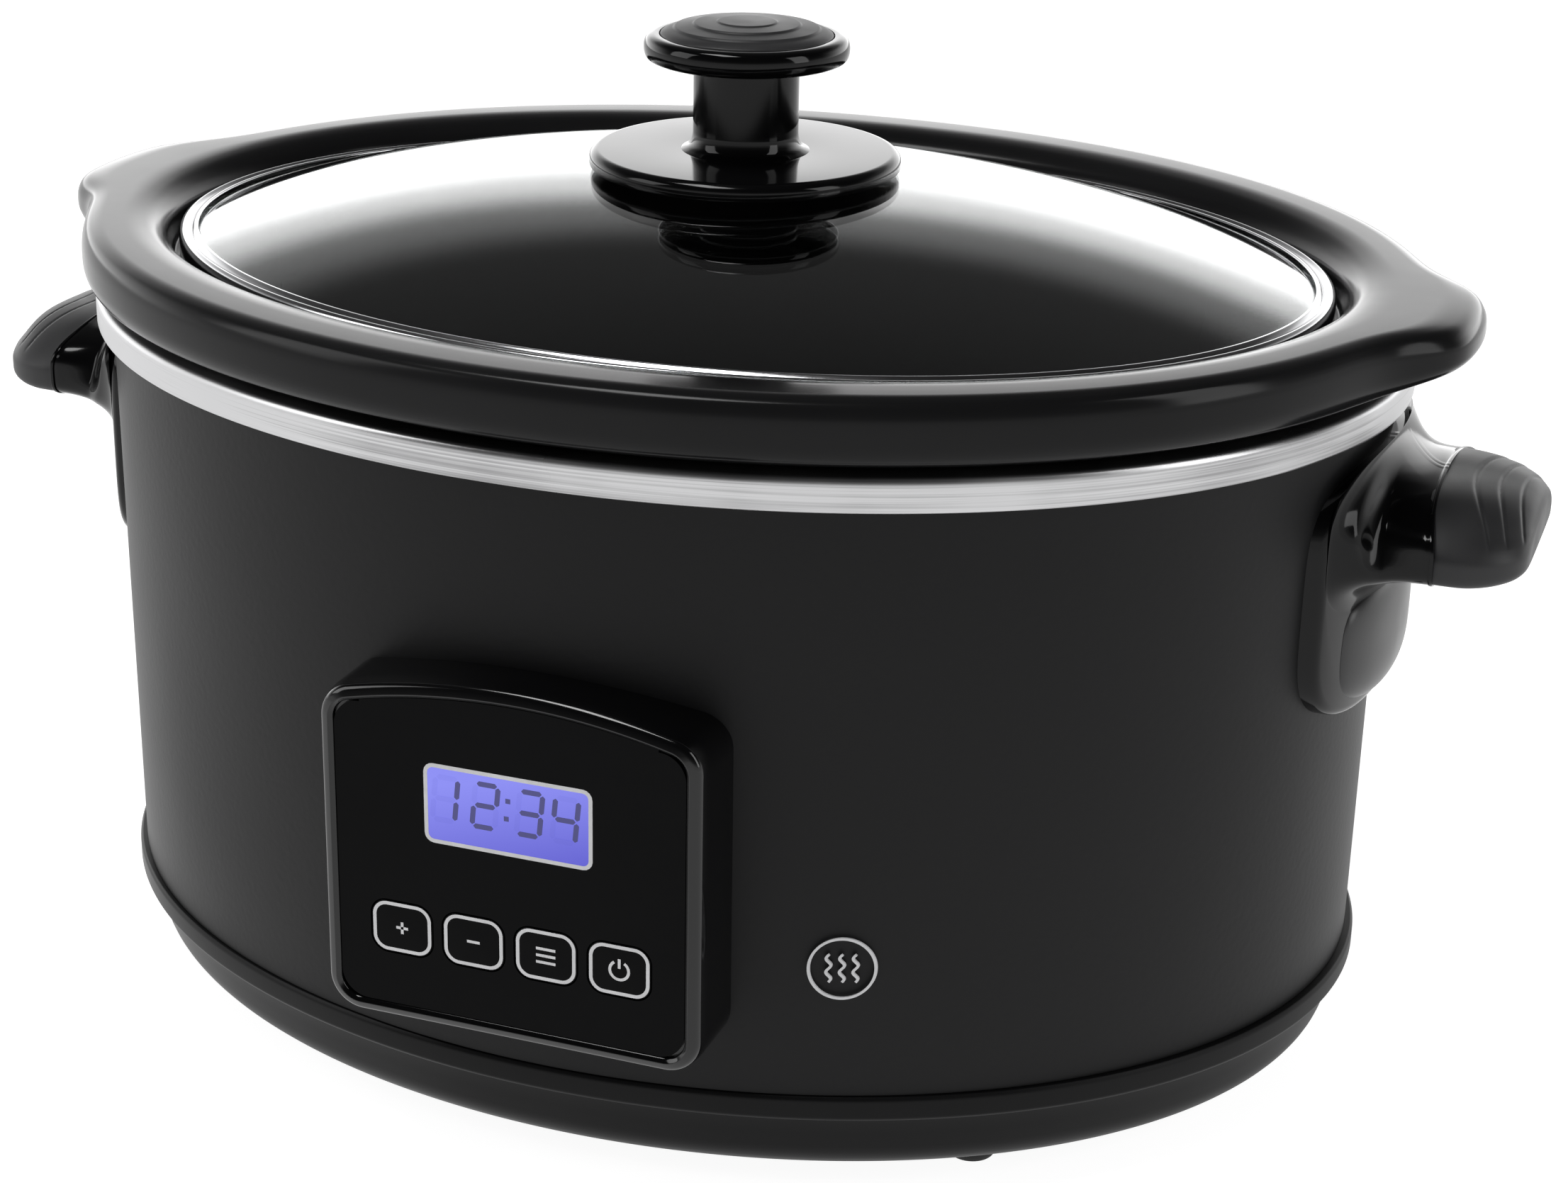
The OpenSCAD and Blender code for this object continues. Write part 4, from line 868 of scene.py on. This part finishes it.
carried = dict(
    plainSteel="base_washer base_nut well_stud sensor_clip fuse_clip board_screws control_screws"
               " bezel_screws handle_screws knob_screw",
    heaterFoil="heater_band", wool="insulation", sensorBody="temp_sensor thermal_fuse terminal_block",
    boardGreen="power_board control_board", component="relay capacitor key_switches lcd_module",
    leadSleeve="heater_leads control_ribbon", trayBlack="cord_gland gland_nut", overlayGloss="panel_overlay",
    silicone="lid_washer")
for finish, names in carried.items():
    for node in names.split():
        mesh = cadNodes[node].data
        mesh.materials.clear()
        mesh.materials.append(paint[finish])
print("carried-over parts finished:", sum(len(names.split()) for names in carried.values()))


stage = dict(half=7.0, floor=(0.3, 0.3, 0.3), rough=0.9, shine=0.1, lift=0.93)
half = stage["half"]
floorMesh = bpy.data.meshes.new("studioFloor")
floorMesh.from_pydata([(-half, -half, 0), (half, -half, 0), (half, half, 0), (-half, half, 0)], [],
                      [(0, 1, 2, 3)])
floor = bpy.data.objects.new("studioFloor", floorMesh)
bpy.context.scene.collection.objects.link(floor)
floorMaterial, tree, shader = newMaterial("paleFloor")
setInputs(tree, shader, {
    "Base Color": (*stage["floor"], 1), "Roughness": stage["rough"], "Specular IOR Level": stage["shine"],
    "Emission Color": (1, 1, 1, 1), "Emission Strength": stage["lift"]})
floorMesh.materials.append(floorMaterial)

# The room is white round the horizon and dims overhead; to the rear the white is stronger and goes higher
room = dict(rearTurn=19.6, strength=1.0, rearPower=2.5, rearFrom=0.05, rearFull=0.75,
            around=((0.04, 1.0), (0.12, 0.5), (0.22, 0.16), (0.4, 0.05), (0.65, 0.025)),
            rear=((0.0, 1.0), (0.22, 1.0), (0.34, 0.6), (0.46, 0.15), (0.6, 0.02)))
world = bpy.data.worlds.new("studio")
bpy.context.scene.world = world
world.use_nodes = True
tree = world.node_tree
direction = addNode(tree, "TexCoord", {}).outputs["Generated"]
upwards = addNode(tree, "SeparateXYZ", {"Vector": direction}).outputs["Z"]
around, rear = (addRamp(tree, upwards, [(place, (grey, grey, grey)) for place, grey in spots], "EASE")
                for spots in (room["around"], room["rear"]))
rearTurn = math.radians(room["rearTurn"])
toRear = addNode(tree, "VectorMath", {0: direction, 1: (-math.sin(rearTurn), math.cos(rearTurn), 0)},
                 operation="DOT_PRODUCT").outputs["Value"]
rearShare = addNode(tree, "MapRange", {"From Min": room["rearFrom"], "From Max": room["rearFull"],
                                       "To Max": room["rearPower"], "Value": toRear},
                    interpolation_type="SMOOTHSTEP").outputs["Result"]
total = addNode(tree, "Math", {0: rear, 1: rearShare, 2: around}, operation="MULTIPLY_ADD").outputs[0]
setInputs(tree, tree.nodes["Background"], {"Color": total, "Strength": room["strength"]})


# A soft box: an area light that looks at a point
def softBox(name, at, aim, size, power):
    light = bpy.data.lights.new(name, "AREA")
    light.shape = "RECTANGLE"
    light.size, light.size_y = size
    light.energy = power
    lamp = bpy.data.objects.new(name, light)
    bpy.context.scene.collection.objects.link(lamp)
    lamp.location = at
    lamp.rotation_euler = (Vector(aim) - Vector(at)).to_track_quat("-Z", "Y").to_euler()


lamps = dict(leftBox=dict(at=(-1.6, -0.9, 1.1), aim=(0, 0, 0.12), size=(0.9, 1.2), power=11),
             rightBox=dict(at=(1.7, -0.2, 0.9), aim=(0, 0, 0.12), size=(0.6, 1.3), power=9),
             topBox=dict(at=(-0.45, -0.35, 2.1), aim=(0, 0, 0.2), size=(1.0, 0.5), power=20))
for name, lamp in lamps.items():
    softBox(name, **lamp)
ceiling = dict(power=0.3, spread=50, turn=(12, -8, 0))
sun = bpy.data.lights.new("ceiling", "SUN")
sun.energy = ceiling["power"]
sun.angle = math.radians(ceiling["spread"])
sunLamp = bpy.data.objects.new("ceiling", sun)
bpy.context.scene.collection.objects.link(sunLamp)
sunLamp.rotation_euler = [math.radians(angle) for angle in ceiling["turn"]]
sunLamp.visible_glossy = False  # it lights the coat but leaves no disc on the glass

view = dict(at=(0.267554, -0.713908, 0.399461), yaw=19.642, pitch=21.355, roll=1.21, lens=71.05)
camera = bpy.data.cameras.new("camera")
camera.lens = view["lens"]
camera.sensor_width = 36
camera.clip_start = 0.05
camera.clip_end = 60
cameraObject = bpy.data.objects.new("camera", camera)
bpy.context.scene.collection.objects.link(cameraObject)
yaw, pitch, roll = (math.radians(view[angle]) for angle in ("yaw", "pitch", "roll"))
ahead = Vector((-math.sin(yaw) * math.cos(pitch), math.cos(yaw) * math.cos(pitch), -math.sin(pitch)))
right = ahead.cross(Vector((0, 0, 1))).normalized()
above = right.cross(ahead)
tiltRight = right * math.cos(roll) + above * math.sin(roll)
tiltUp = -right * math.sin(roll) + above * math.cos(roll)
turn = Matrix((tiltRight, tiltUp, -ahead)).transposed().to_4x4()
cameraObject.matrix_world = Matrix.Translation(view["at"]) @ turn
bpy.context.scene.camera = cameraObject
bpy.context.scene.view_settings.view_transform = "Standard"

print("pieces:", len(made), "stage, light and camera set")
